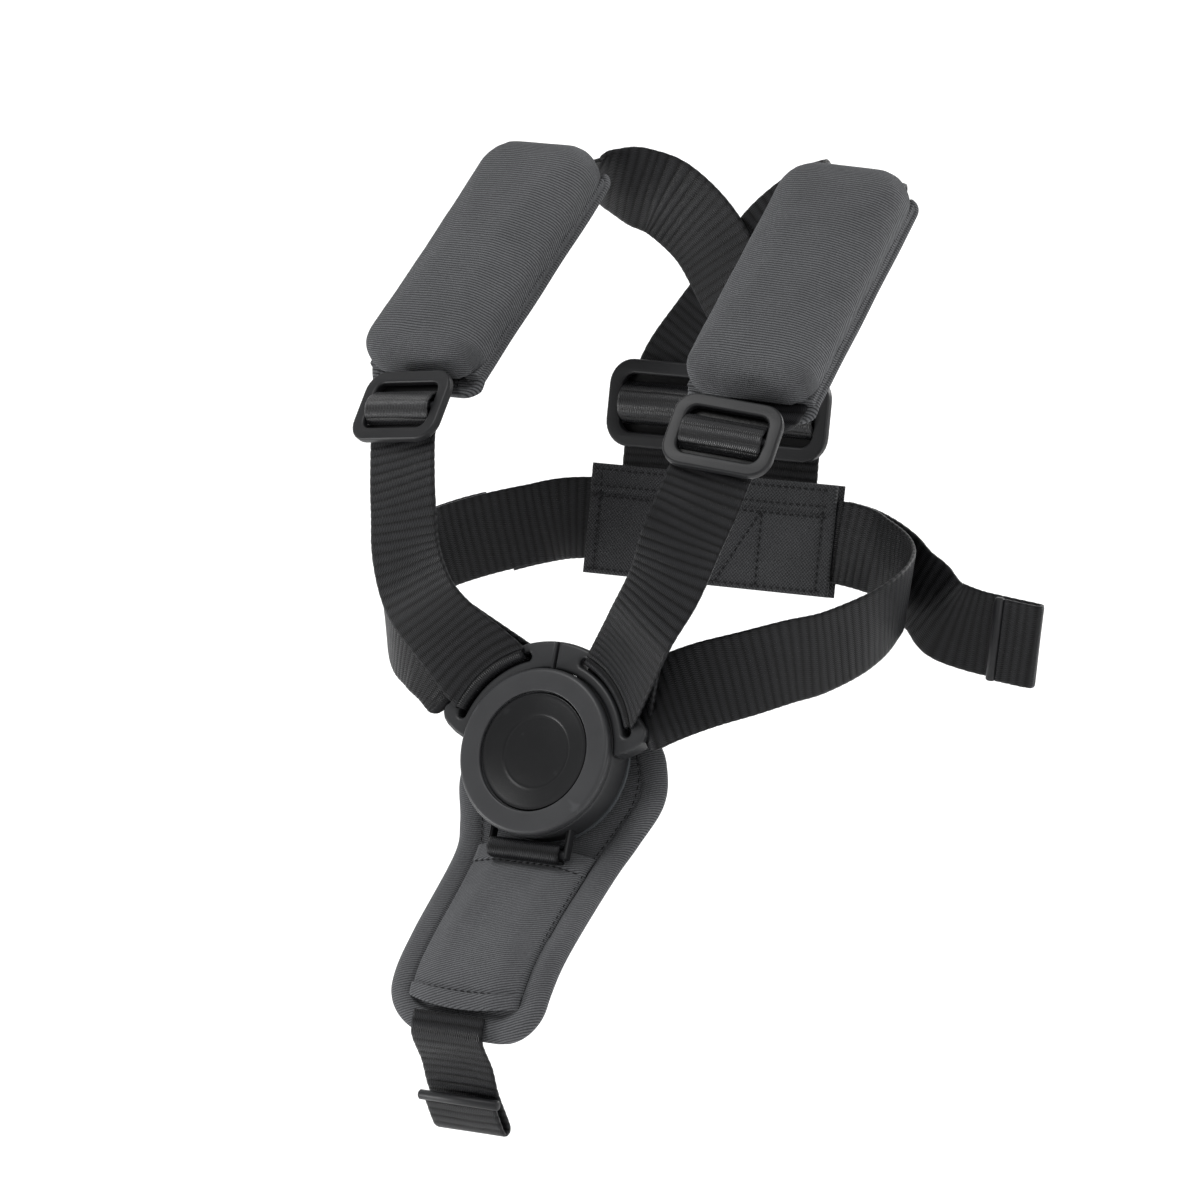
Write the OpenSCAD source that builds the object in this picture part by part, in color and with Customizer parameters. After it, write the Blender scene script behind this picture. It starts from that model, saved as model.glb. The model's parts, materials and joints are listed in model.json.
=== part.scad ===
// Child's five-point seat harness: two padded shoulder straps that cross behind the back,
// a waist belt, a crotch strap with a pad, and a round push-button buckle.
// Millimetres, +Z up, -Y is the side that faces away from the child's back.
// The origin is the centre of the back panel's rear face, which lies against the seat.

/* [Webbing] */
// Width of the shoulder, waist and anchor webbing
web_w = 25; // [23:0.5:27]
// Thickness of the webbing
web_t = 1.2; // [1:0.1:1.4]
// Width of the crotch webbing
crotch_w = 24; // [22:0.5:25]

/* [Back panel] */
// Width of the back panel
panel_w = 86; // [80:1:92]
// Height of the back panel
panel_h = 34; // [30:1:38]
// Thickness of each of its two cloth layers
panel_t = 1; // [0.8:0.1:1.2]

/* [Shoulder pads] */
// Length of a shoulder pad along its strap
pad_l = 90; // [84:1:92]
// Width of a shoulder pad
pad_w = 40; // [36:1:42]
// Thickness of the front cushion
cushion_t = 12; // [9:0.5:13]
// Thickness of the backing layer
backing_t = 2; // [1.5:0.1:2.4]
// Clear height of the tunnel that the strap runs through
tunnel = 2.4; // [2:0.1:3]

/* [Adjusters] */
// Outer width of a front adjuster
adjuster_w = 32.5; // [31:0.5:36]
// Height of a front adjuster
adjuster_h = 22.5; // [20:0.5:24]
// Thickness of a front adjuster
adjuster_t = 2.8; // [2.5:0.1:3.2]
// Outer width of the rear slider
slider_w = 77; // [75:1:80]
// Height of the rear slider
slider_h = 27; // [25:0.5:28]
// Thickness of the rear slider
slider_t = 3; // [2.8:0.1:3.4]

/* [Buckle] */
// Radius of the round buckle
puck_r = 25; // [24:0.5:26]
// Depth of the buckle from its ring's face to its back
puck_d = 14.5; // [13:0.5:16]
// Radius of the release button
button_r = 18.2; // [17:0.1:18.6]
// Outer radius of the two tongue collars
collar_r = 33; // [32:0.5:34]
// Tilt of the buckle's face, from straight up towards level
buckle_tilt = 69; // [60:1:80]

/* [Crotch pad] */
// Width of the crotch pad along its lower half
crotch_pad_w = 54; // [50:1:58]
// Thickness of the crotch pad
crotch_pad_t = 5; // [4:0.5:6]

/* [Hidden] */
$fn = 48;

web_black = "#1d1e20";
plastic_grey = "#3a3b3d";
button_grey = "#2f3032";
pad_grey = "#4b4c4f";
panel_grey = "#27282a";
steel = "#9a9ca0";

gap = 0.3;              // clearance between layers and moving parts
rod_r = 1.5;            // anchor rods
rod_l = 28;
fold_r = 1.7;           // radius of a folded web's centre line
flap_l = 9.5;           // length of the flap that is folded back over a rod
panel_lean = 0.19;      // how far the back plane leans back per millimetre of height
up_panel = unit([0, panel_lean, 0.98]);
out_panel = [0, -up_panel[2], up_panel[1]];

// Layers of the back panel, counted out from its rear face
ends_off = panel_t + gap + web_t / 2;
belt_off = ends_off + web_t + gap;
front_off = belt_off + web_t / 2 + gap;
// The harness is laid out about the belt's centre line, then moved so that the rear face is at 0
layout = belt_off * out_panel;

// ---- vectors and swept webs -------------------------------------------------
function unit(v) = v / norm(v);
function flip(st) = [for (s = st) [-s[0], s[1], s[2], -s[3], s[4], s[5]]];
function catmull(a, b, c, d, t) =
    0.5 * (2 * b + (c - a) * t + (2 * a - 5 * b + 4 * c - d) * t * t
           + (3 * b - a - 3 * c + d) * t * t * t);
function smooth(p, n) = let (m = len(p)) concat(
    [for (i = [0 : m - 2]) for (k = [0 : n - 1])
        catmull(i == 0 ? 2 * p[0] - p[1] : p[i - 1], p[i], p[i + 1],
                i == m - 2 ? 2 * p[m - 1] - p[m - 2] : p[i + 2], k / n)],
    [p[m - 1]]);
function centre(s) = [s[0], s[1], s[2]];
function tangent(p, i) = unit(centre(p[min(i + 1, len(p) - 1)]) - centre(p[max(i - 1, 0)]));
function across(p, i) = let (t = tangent(p, i), w = [p[i][3], p[i][4], p[i][5]])
    unit(w - (w * t) * t);

// A flat web swept along stations [x, y, z, wx, wy, wz] (centre, direction of its width).
// off moves it along its normal; widths, when given, replaces w station by station.
module web(stations, w = web_w, t = web_t, off = 0, n = 4, widths = []) {
    p = smooth(stations, n);
    ws = len(widths) > 0 ? smooth([for (v = widths) [v]], n) : [for (s = p) [w]];
    points = [for (i = [0 : len(p) - 1])
        let (a = across(p, i), nrm = cross(tangent(p, i), a),
             c = centre(p[i]) + off * nrm, h = ws[i][0] / 2)
        for (q = [c - h * a - t / 2 * nrm, c + h * a - t / 2 * nrm,
                  c + h * a + t / 2 * nrm, c - h * a + t / 2 * nrm]) q];
    last = 4 * (len(p) - 1);
    faces = concat([[0, 1, 2], [0, 2, 3], [last, last + 2, last + 1], [last, last + 3, last + 2]],
        [for (i = [0 : len(p) - 2]) for (k = [0 : 3])
            let (a = 4 * i + k, b = 4 * i + (k + 1) % 4) for (f = [[a, a + 4, b + 4], [a, b + 4, b]]) f]);
    translate(layout) polyhedron(points, faces);
}

// ---- routes, right side (the left side mirrors them) ---------------------------
// Front stretch: from the tongue's rim up through the adjuster to the pad
front_route = [
    [23.5, -95.6, -28.6, 0.72, -0.25, -0.65],
    [28, -99.5, -23.5, 0.78, -0.2, -0.58],
    [37, -104.5, -10, 0.90, -0.05, -0.42],
    [44, -103, 3, 0.94, 0.05, -0.33],
    [48, -99.5, 17, 0.95, 0.1, -0.28],
    [51, -95.5, 27, 0.97, 0.14, -0.2],
    [53, -91, 36.4, 0.98, 0.17, -0.14],
    [54.2, -86.6, 42, 0.98, 0.17, -0.115],
    [56.2, -79.5, 47, 0.985, 0.15, -0.06],
    [58.6, -72.9, 49, 0.995, 0.105, 0],
    [58, -66, 54.8, 0.995, 0.105, 0]
];
// Straight stretch through the pad
pad_low = [58, -66, 54.8];
pad_high = [52.8, -3, 108];
pad_across = [0.995, 0.105, 0];
pad_along = unit(pad_high - pad_low);
// Over the shoulder and down the back to the panel; lane keeps the two straps apart in the crossing
function back_route(lane) = [
    [52.8, -3, 108, 0.995, 0.1, 0],
    [51.6, 2, 109.8, 0.98, 0.05, -0.08],
    [48, 7.3, 108.4, 0.95, -0.03, -0.21],
    [41.5, 10.8, 106, 0.92, -0.11, -0.34],
    [32.5, 13.6, 103, 0.88, -0.2, -0.44],
    [23.5, 15.6 + lane / 2, 98.5, 0.84, -0.2, -0.5],
    [11, 16 + lane, 88, 0.83, -0.11, -0.54],
    [0, 13.9 + lane, 73.5, 0.83, -0.11, -0.54],
    [-10, 11.4 + lane, 60, 0.86, -0.1, -0.5],
    [-17.5, 9.1, 48, 0.94, -0.06, -0.34],
    [-21, 7.6, 36.5, 1, -0.02, -0.1],
    [-21.5, 5.1, 20, 1, 0, 0],
    [-21.5, 3.9, 12.5, 1, 0, 0],
    [-21.5, 2.5, 5, 1, 0, 0]
];
cross_lane = 1.1;

belt_half = [
    [0, 0, 0, 0, panel_lean, 0.98],
    [43, 0, 0, 0, panel_lean, 0.98],
    [62, -3, -1.5, 0.05, -0.05, 0.99],
    [76, -15, -5.5, 0.12, 0, 1],
    [82.5, -31, -10.5, 0.2, 0.03, 0.98],
    [82, -48, -15.5, 0.2, 0.03, 0.98],
    [76, -65, -20, 0.15, 0, 0.98],
    [69, -75, -22, 0.1, 0, 0.98],
    [60, -83.5, -25, 0.05, 0.03, 0.98],
    [50, -89.5, -28.2, 0, 0.1, 0.98],
    [40.5, -92.6, -32.3, -0.15, 0.18, 0.94],
    [33.5, -94, -36.5, -0.35, 0.3, 0.87]
];

anchor_root_route = [
    [44, 2, -0.3, 0, panel_lean, 0.98],
    [54, 1.2, -0.9, 0.02, 0.05, 0.98],
    [63, -1, -2, 0.05, -0.03, 0.99],
    [70.5, -6, -4.4, 0.1, 0, 0.99]
];
// A flap folded back on the web's end: the last stations of an anchor route
function fold(at, along, out, w) = let (r = fold_r) [
    concat(at, w),
    concat(at + r * along + r * out, w),
    concat(at + 2 * r * out, w),
    concat(at + 2 * r * out - flap_l * along, w)
];
// Anchor web swung out to the side, and the same web laid along the belt
anchor_out_end = [113, -4.5, -24];
anchor_out_along = unit([0.99, 0.08, -0.12]);
anchor_out = unit([0.08, -1, 0]);
anchor_out_route = concat([
    [73.6, -5.8, -8.6, 0.1, 0, 1],
    [79, -7.4, -13, 0.2, 0.06, 0.97],
    [85, -8.8, -18, 0.22, 0.05, 0.97],
    [93, -7, -21, 0.12, 0, 0.99],
    [103, -5.5, -22.7, 0.12, 0, 0.99]],
    fold(anchor_out_end, anchor_out_along, anchor_out, [0.12, 0, 0.99]));
anchor_in_end = [86.3, -44, -15.4];
anchor_in_along = unit([0, -0.95, -0.3]);
anchor_in = [1, 0, 0];
anchor_in_w = [0.19, -0.29, 0.93];
anchor_in_route = concat([
    [72.8, -8.2, -5.6, 0.1, 0, 1],
    [79, -15, -7.5, 0.12, 0, 1],
    [84, -25, -10, 0.16, 0.02, 0.98],
    [86, -33, -12.4, 0.18, 0.03, 0.98]],
    fold(anchor_in_end, anchor_in_along, anchor_in, anchor_in_w));

// Crotch strap, seen from the side: the pad's middle, the web and the pocket in front of it
function side_view(points, w = [1, 0, 0], x = 0) = [for (p = points) concat([x, p[0], p[1]], w)];
pad_side = [[-77.5, -40], [-82.6, -55], [-87.2, -66], [-94.2, -77.5], [-102.6, -86.2],
            [-126.4, -103.6], [-136.5, -113], [-141, -121], [-143, -129]];
pad_widths = [44, 59, 65, 60, 56, crotch_pad_w, crotch_pad_w, 50, 40];
crotch_side = [[-106.7, -83.5], [-112.7, -88.1], [-119.6, -93.6], [-128.5, -101.1],
               [-138.8, -110.6], [-144, -118.5]];
pocket_side = [[-110.6, -84.5], [-120.4, -92.3], [-129.7, -99.8], [-140.2, -109.3], [-145.6, -117.3]];
pocket_w = 42;
tail_x = -3;              // the tail hangs a little to one side
tail_side = [[-145.6, -121.2], [-147.2, -128], [-141.7, -137.2], [-138.4, -145.4]];
tail_end = [tail_x, -132.2, -156];
tail_along = unit([0, 0.5, -0.86]);
tail_out = unit([0, -0.86, -0.5]);
tail_route = concat(side_view(tail_side, x = tail_x), fold(tail_end, tail_along, tail_out, [1, 0, 0]));

// ---- buckle frame ----------------------------------------------------------------
puck_at = [0, -104.5, -50.4];
module at_puck() translate(layout + puck_at) rotate([buckle_tilt, 0, 0]) children();

// A flat ring sector: radii r0 to r1, heights z0 to z1, from angle a0 to a1
module sector(r0, r1, z0, z1, a0, a1)
    rotate([0, 0, a0]) rotate_extrude(angle = a1 - a0, $fn = 96)
        translate([r0, z0]) square([r1 - r0, z1 - z0]);

bezel_w = 6.2;
wall = 1.8;
collar_front = -3;        // collars' front face, below the ring's face
collar_back = -9.5;
collar_gap = 0.5;         // play between a collar and the buckle
collar_end = 10;          // where a collar's lower end is, in degrees above level
slot_r = 29.6;            // centre line of a tongue's web slot
slot_w = 2.4;
slot_a0 = 17;
slot_a1 = 70;
lug_a = 28;               // direction of the belt lug, in degrees above level
prong_x = 9;
prong_w = 6;
prong_t = 2;
prong_z = -7.9;
prong_tip = 9;            // how far from the centre a prong's tip reaches
lug_r = 28.6;             // the crotch bar's distance from the centre
arm_x = 14.2;             // middle of each arm that holds the crotch bar
arm_w = 3;
arm_round = 2.5;          // half the height of an arm about the bar
bar_r = 1.5;
bar_z = -8;
screw_angles = [90, 210, 330];
screw_at = 19;
stem_end = -9.4;
stem_r = 2.8;
button_back = -4.2;
peg_y = 12;               // the latch pegs' distance from the centre
peg_r = 1.4;

module buckle_bezel() color(plastic_grey) at_puck() {
    inner = puck_r - bezel_w;
    rotate_extrude($fn = 96) polygon([
        [inner, -3.2], [puck_r - 0.2, -3.2], [puck_r, -3], [puck_r, -0.7], [puck_r - 0.7, 0],
        [inner + 0.6, 0], [inner, -0.6]]);
}

module buckle_housing() color(plastic_grey) at_puck() {
    difference() {
        union() {
            rotate_extrude($fn = 96) polygon([
                [puck_r - wall, 1 - puck_d], [puck_r, 1 - puck_d], [puck_r, -3.4],
                [puck_r - bezel_w + 0.4, -3.4], [puck_r - bezel_w + 0.4, -5], [puck_r - wall, -5]]);
            for (side = [-1, 1]) translate([side * arm_x - arm_w / 2, -lug_r - arm_round, bar_z - arm_round])
                cube([arm_w, lug_r + arm_round - button_r, 2 * arm_round]);
        }
        for (side = [-1, 1]) translate([side * prong_x - prong_w / 2 - 0.5, 18, prong_z - prong_t / 2 - 0.5])
            cube([prong_w + 1, 9, prong_t + 1]);
        translate([-20, -lug_r, bar_z]) rotate([0, 90, 0]) cylinder(r = bar_r, h = 40);
    }
    // Bridge that guides the button's stem
    difference() {
        translate([-puck_r + wall / 2, -4, -8.9]) cube([2 * puck_r - wall, 8, 1.2]);
        translate([0, 0, -10]) cylinder(r = stem_r + gap, h = 4);
    }
    for (a = screw_angles) rotate([0, 0, a]) difference() {
        union() {
            translate([screw_at, 0, 1 - puck_d]) cylinder(r = 2.4, h = 4.5);
            translate([screw_at, -1, 1 - puck_d]) cube([puck_r - wall / 2 - screw_at, 2, 4.5]);
        }
        translate([screw_at, 0, -puck_d]) cylinder(r = 1.25, h = 4.8);
    }
}

module buckle_cover() color(plastic_grey) at_puck() difference() {
    translate([0, 0, -puck_d]) cylinder(r = puck_r, h = 1, $fn = 96);
    for (a = screw_angles) rotate([0, 0, a]) translate([screw_at, 0, -puck_d - 1]) cylinder(r = 1.3, h = 3);
}

module cover_screws() color(steel) at_puck()
    for (a = screw_angles) rotate([0, 0, a]) translate([screw_at, 0, 0]) {
        translate([0, 0, -puck_d]) cylinder(r = 1.2, h = 3.2);
        translate([0, 0, -puck_d - 0.8]) cylinder(r = 2.2, h = 0.8);
    }

module crotch_bar() color(steel) at_puck()
    translate([-arm_x - arm_w / 2, -lug_r, bar_z]) rotate([0, 90, 0]) cylinder(r = bar_r, h = 2 * arm_x + arm_w);

module release_button() color(button_grey) at_puck() {
    rotate_extrude($fn = 96) polygon([
        [0, button_back], [button_r, button_back], [button_r, -1.2], [button_r - 0.6, -0.8],
        [13, -1.7], [7, -2.4], [0, -2.6]]);
    translate([0, 0, stem_end]) cylinder(r = stem_r, h = button_back - stem_end);
}

spring_turns = 3;
spring_r = 4.4;
spring_top = -4.75;
spring_bottom = -7.2;
spring_wire = 0.45;
module button_spring() color(steel) at_puck() {
    steps = 16 * spring_turns;
    sides = 6;
    points = [for (i = [0 : steps]) for (k = [0 : sides - 1])
        let (a = 360 * i * spring_turns / steps, b = 360 * k / sides,
             r = spring_r + spring_wire * cos(b),
             z = spring_bottom + (spring_top - spring_bottom) * i / steps + spring_wire * sin(b))
        [r * cos(a), r * sin(a), z]];
    faces = concat(
        [[for (k = [sides - 1 : -1 : 0]) k], [for (k = [0 : sides - 1]) steps * sides + k]],
        [for (i = [0 : steps - 1]) for (k = [0 : sides - 1])
            let (a = i * sides + k, b = i * sides + (k + 1) % sides)
            for (f = [[a, b, b + sides], [a, b + sides, a + sides]]) f]);
    polyhedron(points, faces);
}

// Plate on the stem's end; its two pegs stand in the prongs' holes when the buckle is locked
module latch_plate() color(steel) at_puck() {
    translate([-13, -8, stem_end - 1]) cube([26, 23, 1]);
    for (side = [-1, 1]) translate([side * prong_x, peg_y, stem_end - 0.5]) cylinder(r = peg_r, h = 0.7);
}

// The right tongue: a crescent collar with an arc slot, a belt lug behind it and a prong
module tongue() at_puck() {
    difference() {
        sector(puck_r + collar_gap, collar_r, collar_back, collar_front, collar_end, 89.6);
        sector(slot_r - slot_w / 2, slot_r + slot_w / 2, collar_back - 1, collar_front + 1,
               slot_a0, slot_a1);
    }
    // Lug behind the waist belt's sewn end
    rotate([0, 0, lug_a]) difference() {
        translate([collar_r - 1.5, -13.5, collar_back]) cube([7, 27, 3]);
        translate([collar_r + 1, -12.9, collar_back - 1]) cube([2.4, 25.8, 5]);
    }
    // Prong that drops into the buckle
    difference() {
        translate([prong_x - prong_w / 2, prong_tip, prong_z - prong_t / 2])
            cube([prong_w, puck_r + 1 - prong_tip, prong_t]);
        translate([prong_x, peg_y, prong_z - prong_t]) cylinder(r = peg_r + gap, h = 2 * prong_t);
    }
}

module right_tongue() color(plastic_grey) tongue();
module left_tongue() color(plastic_grey) mirror([1, 0, 0]) tongue();

// Web that passes round a tongue's rim through its slot
module tongue_loop() at_puck() {
    inner = slot_r - 0.6;
    outer = collar_r + gap;
    front = collar_front + gap;
    back = collar_back - gap;
    rotate([0, 0, slot_a0 + 1.5]) rotate_extrude(angle = slot_a1 - slot_a0 - 3, $fn = 96) difference() {
        translate([inner, back - web_t]) square([outer - inner + 0.2, front - back + 2 * web_t]);
        translate([inner + web_t, back]) square([outer - inner + 1, front - back]);
    }
}
module right_tongue_loop() color(web_black) tongue_loop();
module left_tongue_loop() color(web_black) mirror([1, 0, 0]) tongue_loop();

// ---- shoulder webs ---------------------------------------------------------------------
module shoulder_web(lane, side) {
    straight = [concat((pad_low + pad_high) / 2, pad_across)];
    all = concat(front_route, straight, back_route(lane));
    color(web_black) web(side > 0 ? all : flip(all), n = 3);
}
module right_shoulder_web() shoulder_web(cross_lane, 1);
module left_shoulder_web() shoulder_web(-cross_lane, -1);

// Second layer of the front stretch, behind the first
return_layer = web_t + 2 * gap;
module return_web(side) {
    route = [for (i = [1 : 5]) front_route[i]];
    color(web_black) web(side > 0 ? route : flip(route), off = side > 0 ? return_layer : -return_layer);
}
module right_return_web() return_web(1);
module left_return_web() return_web(-1);

module waist_belt() color(web_black)
    web(concat([for (i = [len(belt_half) - 1 : -1 : 1]) flip(belt_half)[i]], belt_half), n = 3);

// ---- back panel ------------------------------------------------------------------------------
module panel_layer(off) color(panel_grey)
    multmatrix([[1, 0, 0, off * out_panel[0]],
                [0, up_panel[1], out_panel[1], off * out_panel[1]],
                [0, up_panel[2], out_panel[2], off * out_panel[2]],
                [0, 0, 0, 1]])
        translate([-panel_w / 2, -panel_h / 2, 0]) cube([panel_w, panel_h, panel_t]);
module back_panel_rear() panel_layer(0);
module back_panel_front() panel_layer(front_off);

// ---- side anchors ------------------------------------------------------------------------------
module right_anchor_root() color(web_black) web(anchor_root_route);
module left_anchor_root() color(web_black) web(flip(anchor_root_route));
module right_anchor_web() color(web_black) web(anchor_out_route);
module left_anchor_web() color(web_black) web(flip(anchor_in_route));

// A rod held in the hem at the end of a folded flap
module flap_rod(end, along, out, w) color(plastic_grey)
    translate(layout + end + 2 * fold_r * out - (flap_l + rod_r + 0.1) * along)
        orient(unit(w)) cylinder(r = rod_r, h = rod_l, center = true);
// Turn +Z onto the direction d
module orient(d) rotate([0, acos(d[2]), atan2(d[1], d[0])]) children();
module right_anchor_rod() flap_rod(anchor_out_end, anchor_out_along, anchor_out, [0.12, 0, 0.99]);
module left_anchor_rod() mirror([1, 0, 0])
    flap_rod(anchor_in_end, anchor_in_along, anchor_in, anchor_in_w);

// ---- adjusters -----------------------------------------------------------------------------------
module rounded(w, h, r) {
    square([w - 2 * r, h], center = true);
    square([w, h - 2 * r], center = true);
    for (x = [-1, 1], y = [-1, 1]) translate([x * (w / 2 - r), y * (h / 2 - r)]) circle(r);
}
// Place children in a frame: x along w, z along the outward normal
module local(at, w, up) {
    x = unit(w);
    y = unit(up - (up * x) * x);
    z = cross(x, y);
    multmatrix([[x[0], y[0], z[0], layout[0] + at[0]],
                [x[1], y[1], z[1], layout[1] + at[1]],
                [x[2], y[2], z[2], layout[2] + at[2]],
                [0, 0, 0, 1]]) children();
}

bar_frame_r = 1.4;
// A flat frame with one bar across its window; its face is at z = 0
module triglide(w, h, t, rail, end, r_out, r_in) {
    translate([0, 0, -t]) linear_extrude(t) difference() {
        rounded(w, h, r_out);
        rounded(w - 2 * rail, h - 2 * end, r_in);
    }
    translate([-w / 2 + rail - 0.5, 0, -t / 2]) rotate([0, 90, 0])
        cylinder(r = bar_frame_r, h = w - 2 * rail + 1);
}
// Web folded over the bar, open towards the strap behind
module bar_loop(w, t) {
    r = bar_frame_r + 0.25;
    translate([-w / 2, 0, -t / 2]) rotate([90, 0, 90]) linear_extrude(w) {
        difference() {
            circle(r + web_t);
            circle(r);
            translate([-9, -18]) square(18);
        }
        for (side = [-1, 1]) translate([side > 0 ? r : -r - web_t, -t / 2]) square([web_t, t / 2]);
    }
}

adjuster_at = [55.1, -89.4, 45.9];
adjuster_across = [0.98, 0.17, -0.115];
adjuster_up = [-0.02, 0.6, 0.8];
module at_adjuster() local(adjuster_at, adjuster_across, adjuster_up) children();
module right_adjuster() color(plastic_grey) at_adjuster()
    triglide(adjuster_w, adjuster_h, adjuster_t, rail = 3, end = 3.2, r_out = 5, r_in = 2.6);
module left_adjuster() mirror([1, 0, 0]) right_adjuster();
module right_adjuster_loop() color(web_black) at_adjuster() bar_loop(web_w, adjuster_t);
module left_adjuster_loop() mirror([1, 0, 0]) right_adjuster_loop();

slider_at = [0, 2.4, 36.5];
slider_loop_x = 20.7;    // middle of each web on the slider's bar
module at_slider() local(slider_at, [1, 0, 0], up_panel) children();
module rear_slider() color(plastic_grey) at_slider()
    triglide(slider_w, slider_h, slider_t, rail = 4, end = 4.5, r_out = 7, r_in = 3.5);
module rear_slider_loops() color(web_black) at_slider()
    for (side = [-1, 1]) translate([side * slider_loop_x, 0, 0]) bar_loop(web_w, slider_t);

// ---- shoulder pads ---------------------------------------------------------------------------------
pad_mid = (pad_low + pad_high) / 2 - 3 * pad_along;   // the pad sits low on its stretch
core_gap = 0.2;
skin_t = 1;
// Pad frame: x across, y up the strap, z out from the strap's centre line
module at_pad() local(pad_mid, pad_across, pad_along) children();
module right_pad_cushion() color(pad_grey) at_pad() translate([0, 0, tunnel / 2]) difference() {
    linear_extrude(cushion_t) rounded(pad_w, pad_l, 7);
    translate([0, 0, skin_t]) linear_extrude(cushion_t - 2 * skin_t)
        rounded(pad_w - 2 * skin_t, pad_l - 2 * skin_t, 6);
}
module right_pad_core() color("white") at_pad() translate([0, 0, tunnel / 2 + skin_t + core_gap])
    linear_extrude(cushion_t - 2 * (skin_t + core_gap))
        rounded(pad_w - 2 * (skin_t + core_gap), pad_l - 2 * (skin_t + core_gap), 5.8);
notch = 7;              // how deep the backing is cut away where the strap leaves it
module right_pad_backing() color(pad_grey) at_pad() translate([0, 0, -tunnel / 2 - backing_t])
    linear_extrude(backing_t) difference() {
        rounded(pad_w + 1, pad_l, 7.5);
        for (end = [-1, 1]) translate([-14, end > 0 ? pad_l / 2 - notch : -pad_l / 2 - 1])
            square([28, notch + 1]);
    }
module right_pad_seams() color(pad_grey) at_pad() for (side = [-1, 1])
    translate([side * (pad_w / 2 - 2.3) - 2, -pad_l / 2 + 8, -tunnel / 2]) cube([4, pad_l - 16, tunnel]);
module left_pad_cushion() mirror([1, 0, 0]) right_pad_cushion();
module left_pad_core() mirror([1, 0, 0]) right_pad_core();
module left_pad_backing() mirror([1, 0, 0]) right_pad_backing();
module left_pad_seams() mirror([1, 0, 0]) right_pad_seams();

// ---- crotch strap ------------------------------------------------------------------------------------
module crotch_loop() color(web_black) at_puck() translate([-crotch_w / 2, -lug_r, bar_z])
    rotate([90, 0, 90]) linear_extrude(crotch_w) difference() {
        circle(bar_r + 0.25 + web_t);
        circle(bar_r + 0.25);
        rotate(-62) translate([0, -2]) square([9, 4]);
    }
module crotch_web() color(web_black) web(side_view(crotch_side), w = crotch_w);
module crotch_pad() color(pad_grey) web(side_view(pad_side), t = crotch_pad_t, widths = pad_widths);
module crotch_pocket() color(pad_grey) web(side_view(pocket_side), w = pocket_w, t = 1);
module crotch_tail_web() color(web_black) web(tail_route, w = crotch_w);
module crotch_tail_rod() flap_rod(tail_end, tail_along, tail_out, [1, 0, 0]);

left_shoulder_web();
right_shoulder_web();
left_return_web();
right_return_web();
waist_belt();
back_panel_front();
back_panel_rear();
left_tongue();
right_tongue();
left_tongue_loop();
right_tongue_loop();
left_anchor_root();
right_anchor_root();
left_anchor_web();
right_anchor_web();
left_anchor_rod();
right_anchor_rod();
left_adjuster();
right_adjuster();
left_adjuster_loop();
right_adjuster_loop();
rear_slider();
rear_slider_loops();
left_pad_cushion();
right_pad_cushion();
left_pad_core();
right_pad_core();
left_pad_backing();
right_pad_backing();
left_pad_seams();
right_pad_seams();
buckle_housing();
buckle_bezel();
buckle_cover();
cover_screws();
crotch_bar();
release_button();
button_spring();
latch_plate();
crotch_loop();
crotch_web();
crotch_pad();
crotch_pocket();
crotch_tail_web();
crotch_tail_rod();
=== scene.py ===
import json
import math
import bpy
import bmesh
import numpy as np
from mathutils import Matrix, Vector

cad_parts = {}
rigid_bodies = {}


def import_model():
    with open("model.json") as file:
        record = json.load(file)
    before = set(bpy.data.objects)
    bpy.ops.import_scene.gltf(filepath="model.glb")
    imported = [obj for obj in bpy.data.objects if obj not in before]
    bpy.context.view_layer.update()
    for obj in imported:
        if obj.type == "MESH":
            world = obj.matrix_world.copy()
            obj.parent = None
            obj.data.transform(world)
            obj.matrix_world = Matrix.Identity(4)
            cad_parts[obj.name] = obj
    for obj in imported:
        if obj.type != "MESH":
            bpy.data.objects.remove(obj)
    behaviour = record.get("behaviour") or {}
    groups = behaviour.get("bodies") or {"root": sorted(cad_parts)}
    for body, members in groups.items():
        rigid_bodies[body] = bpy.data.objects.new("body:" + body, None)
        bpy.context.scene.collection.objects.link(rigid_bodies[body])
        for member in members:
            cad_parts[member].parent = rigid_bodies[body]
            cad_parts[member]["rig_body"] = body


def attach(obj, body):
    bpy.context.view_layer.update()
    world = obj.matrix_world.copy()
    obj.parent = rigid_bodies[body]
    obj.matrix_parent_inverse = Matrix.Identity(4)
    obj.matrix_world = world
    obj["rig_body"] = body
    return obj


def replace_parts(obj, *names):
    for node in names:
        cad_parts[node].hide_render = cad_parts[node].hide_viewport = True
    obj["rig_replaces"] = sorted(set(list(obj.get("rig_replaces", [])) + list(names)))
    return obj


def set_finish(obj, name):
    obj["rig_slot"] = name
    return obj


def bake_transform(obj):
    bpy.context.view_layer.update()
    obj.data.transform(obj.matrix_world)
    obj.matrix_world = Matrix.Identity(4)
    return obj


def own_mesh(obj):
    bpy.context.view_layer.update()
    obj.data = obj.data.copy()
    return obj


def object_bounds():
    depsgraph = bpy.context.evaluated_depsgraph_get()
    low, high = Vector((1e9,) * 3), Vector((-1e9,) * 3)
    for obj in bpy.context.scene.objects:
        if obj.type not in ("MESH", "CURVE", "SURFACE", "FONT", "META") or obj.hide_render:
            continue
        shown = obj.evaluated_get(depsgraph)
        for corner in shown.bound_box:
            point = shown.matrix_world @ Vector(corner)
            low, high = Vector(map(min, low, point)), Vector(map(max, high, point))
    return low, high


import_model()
cad_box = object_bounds()

MM = 0.001
# the routes are in the CAD's layout coordinates, and LAYOUT carries them into the frame
LAYOUT = 3.4 * np.array([0, -0.98171, 0.19034])


# -------------------- vectors, routes
def unit(v):
    v = np.asarray(v, float)
    return v / np.linalg.norm(v)


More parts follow.
